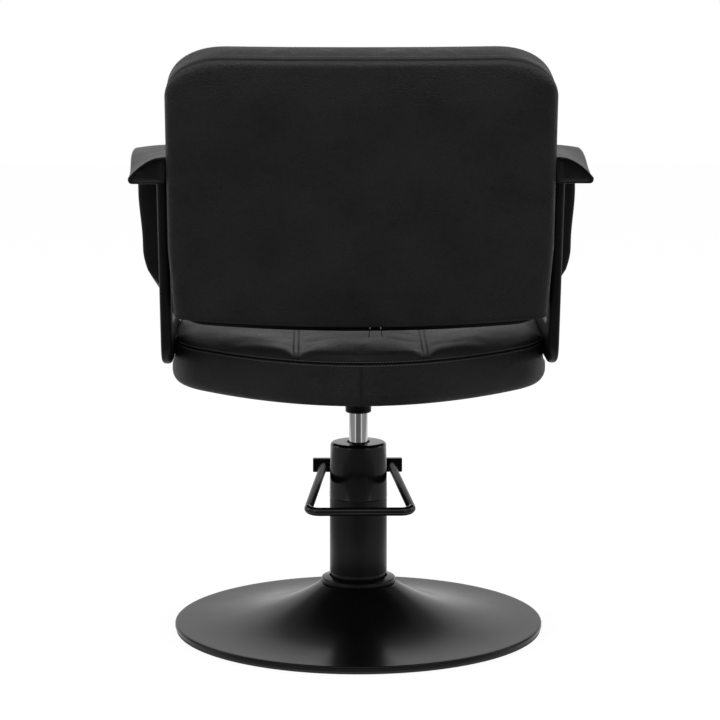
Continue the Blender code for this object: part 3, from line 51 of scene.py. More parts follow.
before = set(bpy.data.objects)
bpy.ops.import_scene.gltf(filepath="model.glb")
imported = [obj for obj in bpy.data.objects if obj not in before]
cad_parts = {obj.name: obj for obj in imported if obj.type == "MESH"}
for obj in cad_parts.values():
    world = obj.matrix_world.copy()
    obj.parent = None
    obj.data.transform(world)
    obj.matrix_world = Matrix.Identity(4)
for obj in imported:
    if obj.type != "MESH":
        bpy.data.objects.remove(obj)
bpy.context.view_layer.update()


# Settings that a user would change


def length(name, description, default):
    """A size in metres."""
    return FloatProperty(name=name, description=description, default=default, unit="LENGTH", precision=4)


def rotation(name, description, degrees):
    """An angle, given in degrees."""
    return FloatProperty(name=name, description=description, default=radians(degrees), unit="ROTATION")


def number(name, description, default):
    """A plain number that is never negative."""
    return FloatProperty(name=name, description=description, default=default, min=0.0)


def colour(name, description, default):
    """A colour, as linear red, green and blue."""
    return FloatVectorProperty(name=name, description=description, default=default, subtype="COLOR", size=3,
                               min=0.0, max=1.0)


class ChairColours(bpy.types.PropertyGroup):
    """Colours of the finishes."""
    leatherette: colour("Leatherette", "Covers of seat and back", (0.0099, 0.0098, 0.0101))
    # Partly painted highlight: the thread's colour is raised so that the stitches also paint the light that
    # catches the seams' edges.
    thread: colour("Thread", "Sewing thread on the covers", (0.110, 0.110, 0.112))
    # Painted highlight: this paler colour paints light on the upper part of the loose thread ends.
    thread_tail: colour("Thread tail", "Loose thread ends under the back", (0.55, 0.54, 0.52))
    moulded: colour("Moulded arms", "Skin of the arms", (0.0055, 0.0055, 0.0057))
    paint: colour("Satin paint", "Base, plate and socket", (0.0032, 0.0032, 0.0034))
    tube: colour("Tube paint", "Tube of the pump and side bars of the pedal", (0.0062, 0.0062, 0.0064))
    gloss: colour("Gloss black", "Pump cover, collar and foot rail", (0.0035, 0.0035, 0.0037))
    chrome: colour("Chrome", "Lift rod and plunger", (0.50, 0.50, 0.51))
    steel: colour("Bare steel", "Machined pump pieces", (0.40, 0.40, 0.41))
    zinc: colour("Zinc plate", "Bolts and pins", (0.50, 0.50, 0.48))
    black_oxide: colour("Black oxide", "Set screw of the socket", (0.02, 0.02, 0.02))
    rubber: colour("Rubber", "Floor ring, seals and bush", (0.014, 0.014, 0.014))
    plywood: colour("Plywood", "Boards and rails inside the cushions", (0.46, 0.31, 0.17))
    foam: colour("Foam", "Stuffing of the cushions", (0.70, 0.63, 0.42))
    dust_cloth: colour("Dust cloth", "Cloth under the seat", (0.016, 0.016, 0.017))


class ChairSewing(bpy.types.PropertyGroup):
    """Sizes of seams, stitches and stuffing."""
    cell: length("Cloth cell", "Spacing of the cover's mesh before it is smoothed", 0.0090)
    seam_row: length("Seam row", "Distance of the first row beside a seam", 0.0026)
    strip_half: length("Strip half width", "Half the width of the sewn strip between panels", 0.0039)
    groove: length("Groove", "Depth of the fold at a seam", 0.0032)
    dart: length("Dart", "Depth of the seam down the rear boxing", 0.0014)
    line: length("Line", "Depth of the fold under a row of stitches", 0.0012)
    stitch: length("Stitch", "Length of one stitch", 0.0029)
    stitch_gap: length("Stitch gap", "Gap between stitches", 0.0020)
    thread: length("Thread radius", "Radius of the sewing thread", 0.00046)
    tail: length("Thread tail", "Length of a loose thread end", 0.018)
    staple: length("Staple", "Width of a staple in the dust cloth", 0.010)
    staple_gap: length("Staple gap", "Gap between staples", 0.042)
    pressure: number("Stuffing pressure", "How hard the stuffing swells the covers", 3.0)
    slack: number("Cover slack", "How much larger the cover is cut than its form", 0.004)
    frames: IntProperty(name="Settling steps", description="Steps that the covers take to settle",
                        default=18)
    most_move: length("Most movement", "How far the stuffing may move a point of a cover", 0.006)


class ChairShape(bpy.types.PropertyGroup):
    """Forms of the cushions and arms that the frame's boxes don't give."""
    seat_half: length("Seat half width", "From the middle to the seam at the side", 0.2812)
    seat_front: length("Seat front", "Front seam at the sides", -0.2950)
    seat_rear: length("Seat rear", "Rear seam at the sides", 0.1000)
    seat_front_bow: length("Front bow", "How far the front edge bows forward", 0.0120)
    seat_rear_bow: length("Rear bow", "How far the rear edge bows back", 0.1500)
    seat_corner: length("Seat corner", "Radius of the seat's corners", 0.0360)
    seat_seam: length("Seat seam", "Height of the top seam over the plate", 0.0685)
    seat_low: length("Seat low", "Height of the boxing's lower edge", 0.0030)
    seat_roll: length("Seat roll", "Height of the roll over the seam", 0.0150)
    seat_crown: length("Seat crown", "Crown of the seat over the roll", 0.0045)
    seat_pivot: length("Seat pivot", "Height of the plate over the floor", 0.4045)
    seat_tilt: rotation("Seat tilt", "Tilt of the seat to the rear", 3.0)
    panel_half: length("Panel half width", "From the middle to a sewn strip", 0.0960)
    strip_depth: length("Strip depth", "How deep a sewn strip pulls in", 0.0060)
    back_foot_y: length("Back foot depth", "Place of the back's foot behind the column", 0.2230)
    back_foot_z: length("Back foot height", "Height of the back's foot", 0.5230)
    back_recline: rotation("Recline", "Lean of the back", 11.0)
    back_height: length("Back height", "Height of the back along its lean", 0.3910)
    back_half: length("Back half width", "Half the width of the back's front cover", 0.2800)
    rear_half: length("Rear panel half width", "Half the width of the rear panel", 0.2825)
    rear_seam: length("Rear seam", "How deep the rear panel's seam lies", 0.0040)
    back_depth: length("Back depth", "From the rear panel to the front seam", 0.0900)
    back_top_corner: length("Top corner", "Width of the back's top corners", 0.0800)
    back_top_fall: length("Top corner fall", "Height of the back's top corners", 0.0540)
    back_low_corner: length("Low corner", "Radius of the back's low corners", 0.0039)
    back_low_bow: length("Low bow", "How far the lower edge bows down", 0.0110)
    back_low_lift: length("Low lift", "How far the lower corners are lifted", 0.0025)
    back_top_dip: length("Top dip", "How far the top edge dips in the middle", 0.0030)
    back_taper: length("Back taper", "How far each side draws in at the foot", 0.0072)
    back_taper_height: length("Taper height", "Height over which the sides draw in", 0.1080)
    back_sag: length("Back sag", "How far the boxing hangs under the rear panel", 0.0128)
    trumpet: number("Trumpet", "How sharply the base flares", 2.6)


class ChairStage(bpy.types.PropertyGroup):
    """Camera, floor and light."""
    distance: length("Camera distance", "From the column's axis to the camera", 4.1)
    height: length("Camera height", "Height of the camera over the floor", 1.067)
    pitch: rotation("Camera pitch", "How far the camera looks down", 8.88)
    turn: rotation("Camera turn", "How far the camera stands round from straight behind", 1.0)
    aside: length("Camera aside", "How far the camera is moved sideways", 0.0026)
    lens: number("Lens", "Focal length in millimetres on a 36 mm sensor", 132.75)
    floor: colour("Floor", "Floor and surroundings", (0.90, 0.90, 0.90))
    near_card: number("Near card", "Grey of the camera's side in reflections", 0.17)
    side_card: number("Side card", "Grey of both sides in reflections", 0.40)
    far_card: number("Far card", "Grey beyond the chair in reflections", 0.86)
    high_card: number("High card", "Grey high beyond the chair in reflections", 0.25)
    fill: number("Fill", "Brightness of the surroundings as light", 0.55)
    top_power: number("Top light", "Power of the light overhead in watts", 36.0)
    side_power: number("Side light", "Power of each side light in watts", 9.0)


class ChairSettings(bpy.types.PropertyGroup):
    """All the settings of the chair."""
    colours: PointerProperty(type=ChairColours)
    sewing: PointerProperty(type=ChairSewing)
    shape: PointerProperty(type=ChairShape)
    stage: PointerProperty(type=ChairStage)


def chosen():
    """The chair's settings in the open scene."""
    return bpy.context.scene.salon_chair


# Meshes and pieces


def new_object(name, points, faces, finish):
    """A mesh object at the origin, its faces turned outwards. finish is a material or a kind of finish."""
    mesh = bpy.data.meshes.new(name)
    mesh.from_pydata([tuple(p) for p in points], [], [tuple(int(i) for i in f) for f in faces])
    turn = bmesh.new()
    turn.from_mesh(mesh)
    bmesh.ops.recalc_face_normals(turn, faces=turn.faces)
    turn.to_mesh(mesh)
    turn.free()
    mesh.materials.append(finished(finish) if isinstance(finish, str) else finish)
    made = bpy.data.objects.new(name, mesh)
    bpy.context.scene.collection.objects.link(made)
    return made


def smooth(made, angle=radians(35)):
    """Shades a mesh smooth, with edges over an angle kept sharp."""
    made.data.shade_smooth()
    made.data.set_sharp_from_angle(angle=angle)
    return made


def settle(made, body, slot, *nodes):
    """Puts a finished piece on its body, in place of its nodes. Its slot is not used."""
    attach(made, body)
    if nodes:
        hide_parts(*nodes)
    return made


def spun(name, section, steps, finish, place, sharp=35.0):
    """A piece turned round the column's axis. place holds its body, slot and node."""
    return settle(smooth(new_object(name, *turned(section, steps), finish), radians(sharp)), *place)


def dress(finish, *nodes):
    """Gives frame pieces that stay as they are a better finish."""
    for name in nodes:
        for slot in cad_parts[name].material_slots:
            slot.material = finished(finish)


def bake_modifiers(made):
    """Replaces an object's mesh by what its modifiers make of it."""
    evaluated = made.evaluated_get(bpy.context.evaluated_depsgraph_get())
    mesh = bpy.data.meshes.new_from_object(evaluated)
    made.modifiers.clear()
    old = made.data
    made.data = mesh
    bpy.data.meshes.remove(old)
    return made


def combine(target, other, operation):
    """Joins another object to a target or cuts it away, then deletes the other."""
    change = target.modifiers.new("combine", "BOOLEAN")
    change.operation = operation
    change.solver = "EXACT"
    change.object = other
    bake_modifiers(target)
    bpy.data.objects.remove(other)
    return target


def turned(profile, steps):
    """Points and faces of a closed profile (radius, height) turned round the upright axis."""
    count = len(profile)
    points = [(r * cos(2 * pi * k / steps), r * sin(2 * pi * k / steps), z)
              for k in range(steps) for r, z in profile]
    faces = []
    for k in range(steps):
        here = k * count
        after = (k + 1) % steps * count
        for i in range(count):
            j = (i + 1) % count
            faces.append((here + i, after + i, after + j, here + j))
    return points, faces


def arc(centre, radius, start, end, steps):
    """Points (radius, height) of a round edge, angles measured from the outward side."""
    return [(centre[0] + radius * cos(start + (end - start) * k / steps),
             centre[1] + radius * sin(start + (end - start) * k / steps)) for k in range(steps + 1)]


def bands(count, rings):
    """Faces between closed rings of so many points each."""
    faces = []
    for k in range(rings - 1):
        for i in range(count):
            j = (i + 1) % count
            faces.append((k * count + i, k * count + j, (k + 1) * count + j, (k + 1) * count + i))
    return faces


def lofted(rings):
    """Points and faces of closed rings joined one to the next, with both ends closed."""
    count = len(rings[0])
    points = [p for ring in rings for p in ring]
    ends = [tuple(range(count)), tuple(range(len(points) - count, len(points)))]
    return points, bands(count, len(rings)) + ends


def gathered(pieces):
    """Points and faces of several pieces as one."""
    points, faces = [], []
    for more, sides in pieces:
        faces += [tuple(i + len(points) for i in f) for f in sides]
        points += more
    return points, faces


def tube(route, radius, sides, taper=None):
    """Points and faces of a round bar along a route. taper scales the radius at each point."""
    route = [Vector(p) for p in route]
    across = None
    rings = []
    for i, here in enumerate(route):
        along = (route[min(i + 1, len(route) - 1)] - route[max(i - 1, 0)]).normalized()
        if across is None:
            across = along.orthogonal().normalized()
        across = (across - along * across.dot(along)).normalized()
        over = along.cross(across)
        size = radius * (taper[i] if taper else 1.0)
        rings.append([here + (across * cos(2 * pi * k / sides) + over * sin(2 * pi * k / sides)) * size
                      for k in range(sides)])
    return lofted(rings)


def bend(here, before, after, radius, steps):
    """Points of one round corner between two directions that lead away from it."""
    if radius <= 0:
        return [here]
    half = before.angle(after) / 2
    reach = radius / tan(half)
    centre = here + (before + after).normalized() * (radius / sin(half))
    start = here + before * reach - centre
    end = here + after * reach - centre
    sweep = start.angle(end)
    return [centre + (start * sin((1 - t) * sweep) + end * sin(t * sweep)) / sin(sweep)
            for t in (k / steps for k in range(steps + 1))]


def rounded(corners, steps):
    """A closed outline from corners (x, y, radius)."""
    points = []
    count = len(corners)
    for i, (x, y, radius) in enumerate(corners):
        here = Vector((x, y))
        before = (Vector(corners[i - 1][:2]) - here).normalized()
        after = (Vector(corners[(i + 1) % count][:2]) - here).normalized()
        points += [tuple(p) for p in bend(here, before, after, radius, steps)]
    return points


def oblong(left, right, low, high, radius, steps):
    """The outline of a rectangle with round corners."""
    corners = ((left, low), (right, low), (right, high), (left, high))
    return rounded([(x, y, radius) for x, y in corners], steps)


def offset(outline, outset):
    """Moves a counter-clockwise outline outwards, or inwards if negative."""
    moved = []
    for i, point in enumerate(outline):
        here = Vector(point)
        arrives = (here - Vector(outline[i - 1])).normalized()
        leaves = (Vector(outline[(i + 1) % len(outline)]) - here).normalized()
        normal = Vector((arrives.y + leaves.y, -arrives.x - leaves.x))
        moved.append(tuple(here + normal * (outset / (1 + arrives.dot(leaves)))))
    return moved


def ease(share):
    """Eases from 0 to 1."""
    share = min(max(share, 0.0), 1.0)
    return share * share * (3 - 2 * share)


def spread(start, end, step):
    """Evenly spaced values from start to end, about a step apart."""
    count = max(1, round((end - start) / step))
    return [start + (end - start) * k / count for k in range(count + 1)]


# Finishes


def feed(tree, socket, value):
    """Gives a socket a value or another node's output."""
    if isinstance(value, bpy.types.NodeSocket):
        tree.links.new(value, socket)
    else:
        socket.default_value = value


def add(tree, kind, **inputs):
    """Adds a shader node and feeds its named inputs."""
    made = tree.nodes.new("ShaderNode" + kind)
    for name, value in inputs.items():
        feed(tree, made.inputs[name.replace("_", " ")], value)
    return made


def maths(tree, operation, *values, kind="Math"):
    """A sum on numbers, or on vectors with the kind VectorMath."""
    made = add(tree, kind)
    made.operation = operation
    for socket, value in zip(made.inputs, values):
        feed(tree, socket, value)
    return made.outputs[0]


def blend_colours(tree, share, first, second):
    """A colour between two colours or outputs, by a share from 0 to 1."""
    made = add(tree, "Mix")
    made.data_type = "RGBA"
    tree.links.new(share, made.inputs[0])
    for socket, shade in ((made.inputs[6], first), (made.inputs[7], second)):
        feed(tree, socket, (*shade, 1.0) if isinstance(shade, tuple) else shade)
    return made.outputs[2]


def noise(tree, place, scale, detail, **inputs):
    """The grey of a noise texture."""
    return add(tree, "TexNoise", Vector=place, Scale=scale, Detail=detail, **inputs).outputs["Fac"]


def own_place(tree):
    """The place on the object itself."""
    return add(tree, "TexCoord").outputs["Object"]


def spanned(tree, value, low, high, to_low, to_high):
    """A value moved from one span to another, held at its ends."""
    made = add(tree, "MapRange", Value=value, From_Min=low, From_Max=high, To_Min=to_low, To_Max=to_high)
    return made.outputs[0]


def new_group(name, outputs, **inputs):
    """An empty shader group with named numbers going in and coming out."""
    group = bpy.data.node_groups.new(name, "ShaderNodeTree")
    kind = "NodeSocketFloat"
    for label, default in inputs.items():
        group.interface.new_socket(name=label, in_out="INPUT", socket_type=kind).default_value = default
    for label in outputs:
        group.interface.new_socket(name=label, in_out="OUTPUT", socket_type=kind)
    return group, group.nodes.new("NodeGroupInput").outputs


def give(group, **values):
    """Links what a shader group gives to its named outputs."""
    end = group.nodes.new("NodeGroupOutput")
    for name, value in values.items():
        group.links.new(value, end.inputs[name])
    return group


def hide_grain():
    """Pebbled skin: small cells with creases between them, and slow uneven tone."""
    group, given = new_group("hide_grain", ["Height", "Tone"], Cells=340.0, Unevenness=11.0)
    place = own_place(group)
    warp = add(group, "TexNoise", Vector=place, Scale=240.0, Detail=2.0).outputs["Color"]
    shifted = maths(group, "MULTIPLY_ADD", warp, (0.0016, 0.0016, 0.0016), place, kind="VectorMath")
    cells = add(group, "TexVoronoi", Vector=shifted, Scale=given["Cells"])
    cells.feature = "DISTANCE_TO_EDGE"
    pebble = spanned(group, cells.outputs["Distance"], 0.0, 0.22, 0.0, 1.0)
    height = maths(group, "MULTIPLY_ADD", noise(group, place, 1900.0, 1.0), 0.30, pebble)
    slow = noise(group, place, given["Unevenness"], 4.0, Roughness=0.55)
    speck = maths(group, "SUBTRACT", noise(group, place, given["Cells"], 2.0), 0.5)
    return give(group, Height=height, Tone=maths(group, "MULTIPLY_ADD", speck, 0.55, slow))


def falling(tree, value, rate, power):
    """Falls from 1 towards 0 as a value grows."""
    grown = maths(tree, "POWER", maths(tree, "MULTIPLY", value, rate), power)
    return maths(tree, "EXPONENT", maths(tree, "MULTIPLY", grown, -1.0))


def seam_gathers():
    """Fine puckers that run out from a seam and fade, and a line of painted shade along the seam's fold, laid
    by the seam map.
    """
    group, given = new_group("seam_gathers", ["Height", "Line"], Fade=70.0, Count=95.0, Narrow=1250.0)
    sewn = add(group, "UVMap")
    sewn.uv_map = "seam_map"
    parts = add(group, "SeparateXYZ", Vector=sewn.outputs[0]).outputs
    lay = add(group, "CombineXYZ", X=maths(group, "MULTIPLY", parts["X"], given["Count"]),
              Y=maths(group, "MULTIPLY", parts["Y"], 14.0))
    folds = maths(group, "SUBTRACT", noise(group, lay.outputs[0], 1.0, 2.0, Distortion=0.6), 0.5)
    fading = falling(group, parts["Y"], given["Fade"], 1.0)
    return give(group, Height=maths(group, "MULTIPLY", folds, fading),
                Line=falling(group, parts["Y"], given["Narrow"], 2.0))


def sprayed_skin():
    """The faint ripple of sprayed or moulded skins, with slow uneven tone."""
    group, given = new_group("sprayed_skin", ["Height", "Tone"], Ripple=420.0, Unevenness=14.0)
    place = own_place(group)
    return give(group, Height=noise(group, place, given["Ripple"], 2.0),
                Tone=noise(group, place, given["Unevenness"], 3.0))


def tool_lines():
    """Fine lines that a tool leaves round turned metal, and slow uneven tone."""
    group, given = new_group("tool_lines", ["Height", "Tone"], Lines=1500.0, Spread=60.0)
    place = own_place(group)
    parts = add(group, "SeparateXYZ", Vector=place).outputs
    lay = add(group, "CombineXYZ", **{axis: maths(group, "MULTIPLY", parts[axis], given[rate])
                                      for axis, rate in (("X", "Spread"), ("Y", "Spread"), ("Z", "Lines"))})
    return give(group, Height=noise(group, lay.outputs[0], 1.0, 3.0), Tone=noise(group, place, 55.0, 3.0))


def rubbed_edges():
    """A mask on edges that hands and feet rub."""
    group, given = new_group("rubbed_edges", ["Mask"], Start=0.53, Breaks=90.0)
    edge = add(group, "NewGeometry").outputs["Pointiness"]
    sharp = spanned(group, edge, given["Start"], 0.62, 0.0, 1.0)
    patchy = spanned(group, noise(group, own_place(group), given["Breaks"], 3.0), 0.42, 0.62, 0.0, 1.0)
    return give(group, Mask=maths(group, "MULTIPLY", sharp, patchy))


def use(tree, maker, **inputs):
    """Places a shader group in a material, made the first time it is asked for."""
    made = tree.nodes.new("ShaderNodeGroup")
    made.node_tree = bpy.data.node_groups.get(maker.__name__) or maker()
    for name, value in inputs.items():
        made.inputs[name].default_value = value
    return made.outputs


def shaded(shade, scale):
    """A colour made lighter or darker."""
    return tuple(min(1.0, c * scale) for c in shade)


def new_finish(name, shade, skin, rough, tone=(0.85, 1.18), bump=0.0002, metal=0.0, specular=0.5, worn=None,
               gathers=0.0, **values):
    """A finish whose colour and roughness follow a skin group's tone and whose bump follows its height."""
    finish = bpy.data.materials.new(name)
    finish.use_nodes = True
    tree = finish.node_tree
    shader = tree.nodes["Principled BSDF"]
    surface = use(tree, skin, **values)
    uneven = spanned(tree, surface["Tone"], 0.30, 0.70, 0.0, 1.0)
    tint = blend_colours(tree, uneven, shaded(shade, tone[0]), shaded(shade, tone[1]))
    shine = spanned(tree, surface["Tone"], 0.30, 0.70, rough[0], rough[1])
    relief = add(tree, "Bump", Height=surface["Height"], Distance=bump, Strength=1.0).outputs[0]
    if worn:
        tint = blend_colours(tree, use(tree, rubbed_edges)["Mask"], tint, worn)
    # Painted shade in the seam's fold: along the seam's line the colour darkens to 8 % of the finish's own,
    # and the roughness rises there.
    if gathers:
        folds = use(tree, seam_gathers)
        tint = blend_colours(tree, folds["Line"], tint, shaded(shade, 0.08))
        shine = maths(tree, "MULTIPLY_ADD", folds["Line"], 0.4, shine)
        relief = add(tree, "Bump", Height=folds["Height"], Distance=gathers, Strength=1.0,
                     Normal=relief).outputs[0]
    for socket, value in (("Base Color", tint), ("Roughness", shine), ("Normal", relief),
                          ("Metallic", metal), ("Specular IOR Level", specular)):
        feed(tree, shader.inputs[socket], value)
    return finish


# Kinds of finish: material, colour setting, skin group, span of roughness, and what else sets it apart
RUBBED_PAINT = (0.020, 0.020, 0.019)
FINISHES = {
    "leatherette": ("pebbled_leatherette", "leatherette", hide_grain, (0.34, 0.50),
                    dict(tone=(0.60, 1.50), bump=0.00055, specular=0.22, gathers=0.0007)),
    # Sewing thread, its colour raised so that it also paints the light on the seams' edges.
    "thread": ("sewing_thread", "thread", sprayed_skin, (0.45, 0.60), dict(bump=0.00008, Ripple=2600.0)),
    "hem_thread": ("dark_thread", "leatherette", sprayed_skin, (0.5, 0.65),
                   dict(bump=0.00008, specular=0.2, Ripple=2600.0)),
    # The loose thread ends' painted highlight.
    "thread_tail": ("loose_thread", "thread_tail", sprayed_skin, (0.6, 0.8),
                    dict(bump=0.00008, Ripple=2600.0)),
    "moulded": ("moulded_skin", "moulded", sprayed_skin, (0.36, 0.46),
                dict(bump=0.00005, specular=0.14, worn=(0.020, 0.020, 0.020), Ripple=900.0)),
    "satin_paint": ("satin_black_paint", "paint", sprayed_skin, (0.21, 0.26),
                    dict(bump=0.000010, specular=0.13, worn=RUBBED_PAINT, Ripple=300.0)),
    "tube_paint": ("tube_paint", "tube", sprayed_skin, (0.29, 0.36),
                   dict(bump=0.000010, specular=0.21, worn=RUBBED_PAINT, Ripple=300.0)),
    "collar_black": ("collar_black", "gloss", sprayed_skin, (0.17, 0.23),
                     dict(bump=0.000006, specular=0.15, Ripple=260.0)),
    "gloss_black": ("gloss_black", "gloss", sprayed_skin, (0.14, 0.19),
                    dict(bump=0.000006, specular=0.40, Ripple=260.0)),
    "enamel": ("pedal_enamel", "gloss", sprayed_skin, (0.08, 0.13),
               dict(bump=0.000010, specular=0.36, worn=(0.05, 0.05, 0.05), Ripple=300.0)),
    "chrome": ("chrome_plate", "chrome", tool_lines, (0.045, 0.075),
               dict(tone=(0.96, 1.04), bump=0.000001, metal=1.0)),
    "steel": ("machined_steel", "steel", tool_lines, (0.28, 0.42), dict(bump=0.00002, metal=1.0)),
    "black_oxide": ("black_oxide", "black_oxide", tool_lines, (0.35, 0.50), dict(bump=0.00002, metal=1.0)),
    "zinc": ("zinc_plate", "zinc", sprayed_skin, (0.30, 0.46), dict(bump=0.00003, metal=1.0, Ripple=700.0)),
    "rubber": ("black_rubber", "rubber", sprayed_skin, (0.62, 0.78), dict(bump=0.00008, Ripple=800.0)),
    "foam": ("cushion_foam", "foam", hide_grain, (0.85, 0.98), dict(bump=0.0008, Cells=420.0)),
    "dust_cloth": ("felted_cloth", "dust_cloth", hide_grain, (0.85, 0.95),
                   dict(bump=0.00025, specular=0.2, Cells=900.0)),
    "plywood": ("raw_plywood", "plywood", tool_lines, (0.62, 0.80),
                dict(tone=(0.70, 1.25), bump=0.00015, Lines=700.0, Spread=9.0)),
}


def finished(kind):
    """The finish of one kind, made the first time it is asked for."""
    name, shade, skin, rough, more = FINISHES[kind]
    made = bpy.data.materials.get(name)
    return made or new_finish(name, getattr(chosen().colours, shade), skin, rough, **more)


# Base, column, rod and pedal


class MakeBase(bpy.types.Operator):
    """Spun base dish with its turned rim, the rubber ring under it and what holds the pump"""
    bl_idname = "salon_chair.base"
    bl_label = "Base"

    def execute(self, context):
        """Builds the dish and the ring, and dresses the plate and bolts."""
        low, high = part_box("base_dish")
        rim, top, lip = high.x, high.z, low.z
        neck, edge, rim_top, sheet, bore = 0.060, 0.0030, 0.0120, 0.0030, 0.012
        flare = [neck + (rim - edge - neck) * (k / 44) ** 1.2 for k in range(45)]

        def rise(r):
            return rim_top + (top - rim_top) * ((rim - r) / (rim - neck)) ** chosen().shape.trumpet

        profile = [(bore, top), (neck - 0.004, top)]
        profile += [(r, rise(r)) for r in flare]
        profile += arc((rim - edge, rim_top - edge), edge, pi / 2, 0.0, 8)[1:]
        profile += arc((rim - 0.0008, lip + 0.0008), 0.0008, 0.0, -pi / 2, 3)
        profile += [(rim - sheet, lip), (rim - sheet, rim_top - sheet - 0.0012)]
        profile += [(r - 0.5 * sheet, rise(r) - 1.1 * sheet) for r in reversed(flare[1:-2])]
        profile += [(neck - sheet, top - sheet), (bore, top - sheet)]
        spun("dish", profile, 160, "satin_paint", ("base", "black_paint", "base_dish"))

        low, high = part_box("floor_ring")
        outer, ring_top = high.x, high.z
        step, inner, foot = rim - sheet - 0.0003, outer - 0.014, 0.005
        section = [(inner, ring_top), (step, ring_top), (step, foot), (outer - 0.0006, foot)]
        section += arc((outer - 0.0012, foot - 0.0012), 0.0012, pi / 2, 0.0, 4)
        section += arc((outer - 0.0012, 0.0012), 0.0012, 0.0, -pi / 2, 4) + [(inner, 0.0)]
        spun("foot_ring", section, 160, "rubber", ("base", "rubber", "floor_ring"))
        dress("steel", "backing_plate", "pump_foot")
        dress("zinc", *[f"base_bolt_{k}" for k in range(1, 5)])
        return {"FINISHED"}


class MakeColumn(bpy.types.Operator):
    """Collar, painted tube, glossy pump cover and what they hide"""
    bl_idname = "salon_chair.column"
    bl_label = "Pump column"

    def execute(self, context):
        """Builds the turned covers and dresses the pump inside them."""
        low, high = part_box("lower_tube")
        tube_radius, tube_top, tube_low = high.x, high.z, low.z
        wall, recess, recess_top = 0.0045, 0.0026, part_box("foot_collar")[1].z + 0.0062
        section = arc((tube_radius - 0.0010, tube_top - 0.0010), 0.0010, pi / 2, 0.0, 4)
        section += arc((tube_radius - 0.0005, recess_top + 0.0005), 0.0005, 0.0, -pi / 2, 3)
        section += [(tube_radius - recess, recess_top), (tube_radius - recess, tube_low),
                    (tube_radius - wall, tube_low), (tube_radius - wall, tube_top)]
        spun("pump_tube", section, 128, "tube_paint", ("base", "black_paint", "lower_tube"))

        low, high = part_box("foot_collar")
        reach, top, foot = high.x, high.z, low.z
        inner = tube_radius + 0.0003
        section = [(inner, foot), (inner, top - 0.0006), (inner + 0.0006, top)]
        section += arc((reach - 0.0026, top - 0.0048), 0.0026, pi * 0.44, 0.0, 8)
        section += arc((reach - 0.0014, foot + 0.0014), 0.0014, 0.0, -pi / 2, 5)
        spun("trim_collar", section, 128, "collar_black", ("base", "gloss_cover", "foot_collar"), 50.0)
        self.make_cover()
        dress("steel", "pump_cylinder", "guide_head", "pivot_bracket", "plunger_barrel")
        dress("rubber", "rod_bush")
        return {"FINISHED"}

    def make_cover(self):
        """The glossy cap: slightly tapered, rounded at the top, cut open at the front for the pedal."""
        low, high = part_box("upper_cover")
        foot_radius, top, foot = high.x, high.z, low.z
        top_radius, edge, wall = 0.0440, 0.0055, 0.0025
        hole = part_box("rod_bush")[1].x + 0.0003
        section = [(hole, top - wall), (hole, top - 0.0006), (hole + 0.0006, top)]
        section += arc((top_radius - edge, top - edge), edge, pi / 2, 0.0, 12)
        section += arc((foot_radius - 0.0009, foot + 0.0009), 0.0009, 0.0, -pi / 2, 4)
        section += [(foot_radius - wall, foot), (top_radius - wall, top - edge),
                    (top_radius - edge, top - wall)]
        cover = new_object("pump_cover", *turned(section, 128), "gloss_black")
        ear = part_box("pivot_bracket")
        side, sill, lintel, corner = ear[1].x + 0.003, 0.230, ear[1].z + 0.0008, 0.002
        corners = oblong(-side, side, sill, lintel, corner, 4)
        window = lofted([[(x, y, z) for x, z in corners] for y in (-0.10, -0.02)])
        combine(cover, new_object("cover_window", *window, "gloss_black"), "DIFFERENCE")
        settle(smooth(cover), "base", "gloss_cover", "upper_cover")


class MakeLift(bpy.types.Operator):
    """Chromed rod, seat socket with its set screw, and the piston"""
    bl_idname = "salon_chair.lift"
    bl_label = "Lift rod"

    def execute(self, context):
        """Builds the rod and the socket, and dresses what is hidden."""
        low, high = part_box("lift_rod")
        radius = high.x
        core, spigot = 0.0004, 0.009
        section = [(core, high.z), (radius - 0.0015, high.z), (radius, high.z - 0.003),
                   (radius, low.z + 0.009), (spigot, low.z + 0.008), (spigot, low.z), (core, low.z)]
        spun("chrome_rod", section, 96, "chrome", ("seat", "chrome", "lift_rod"))

        low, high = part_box("seat_socket")
        reach, top, foot = high.x, high.z, low.z
        inner = radius + 0.0004
        section = [(inner, top), (inner, foot), (inner + 0.001, foot)]
        section += arc((reach - 0.0026, foot + 0.0030), 0.0026, -pi * 0.42, 0.0, 6)
        section += [(reach, top)]
        socket = new_object("rod_socket", *turned(section, 96), "satin_paint")
        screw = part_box("set_screw")
        middle = (screw[0] + screw[1]) / 2
        hole = tube([(middle.x, reach - 0.004, middle.z), (middle.x, reach + 0.004, middle.z)], 0.0034, 24)
        combine(socket, new_object("screw_hole", *hole, "satin_paint"), "DIFFERENCE")
        settle(smooth(socket), "seat", "black_paint", "seat_socket")
        dress("steel", "piston_head")
        dress("black_oxide", "set_screw")
        dress("rubber", "piston_seal")
        return {"FINISHED"}


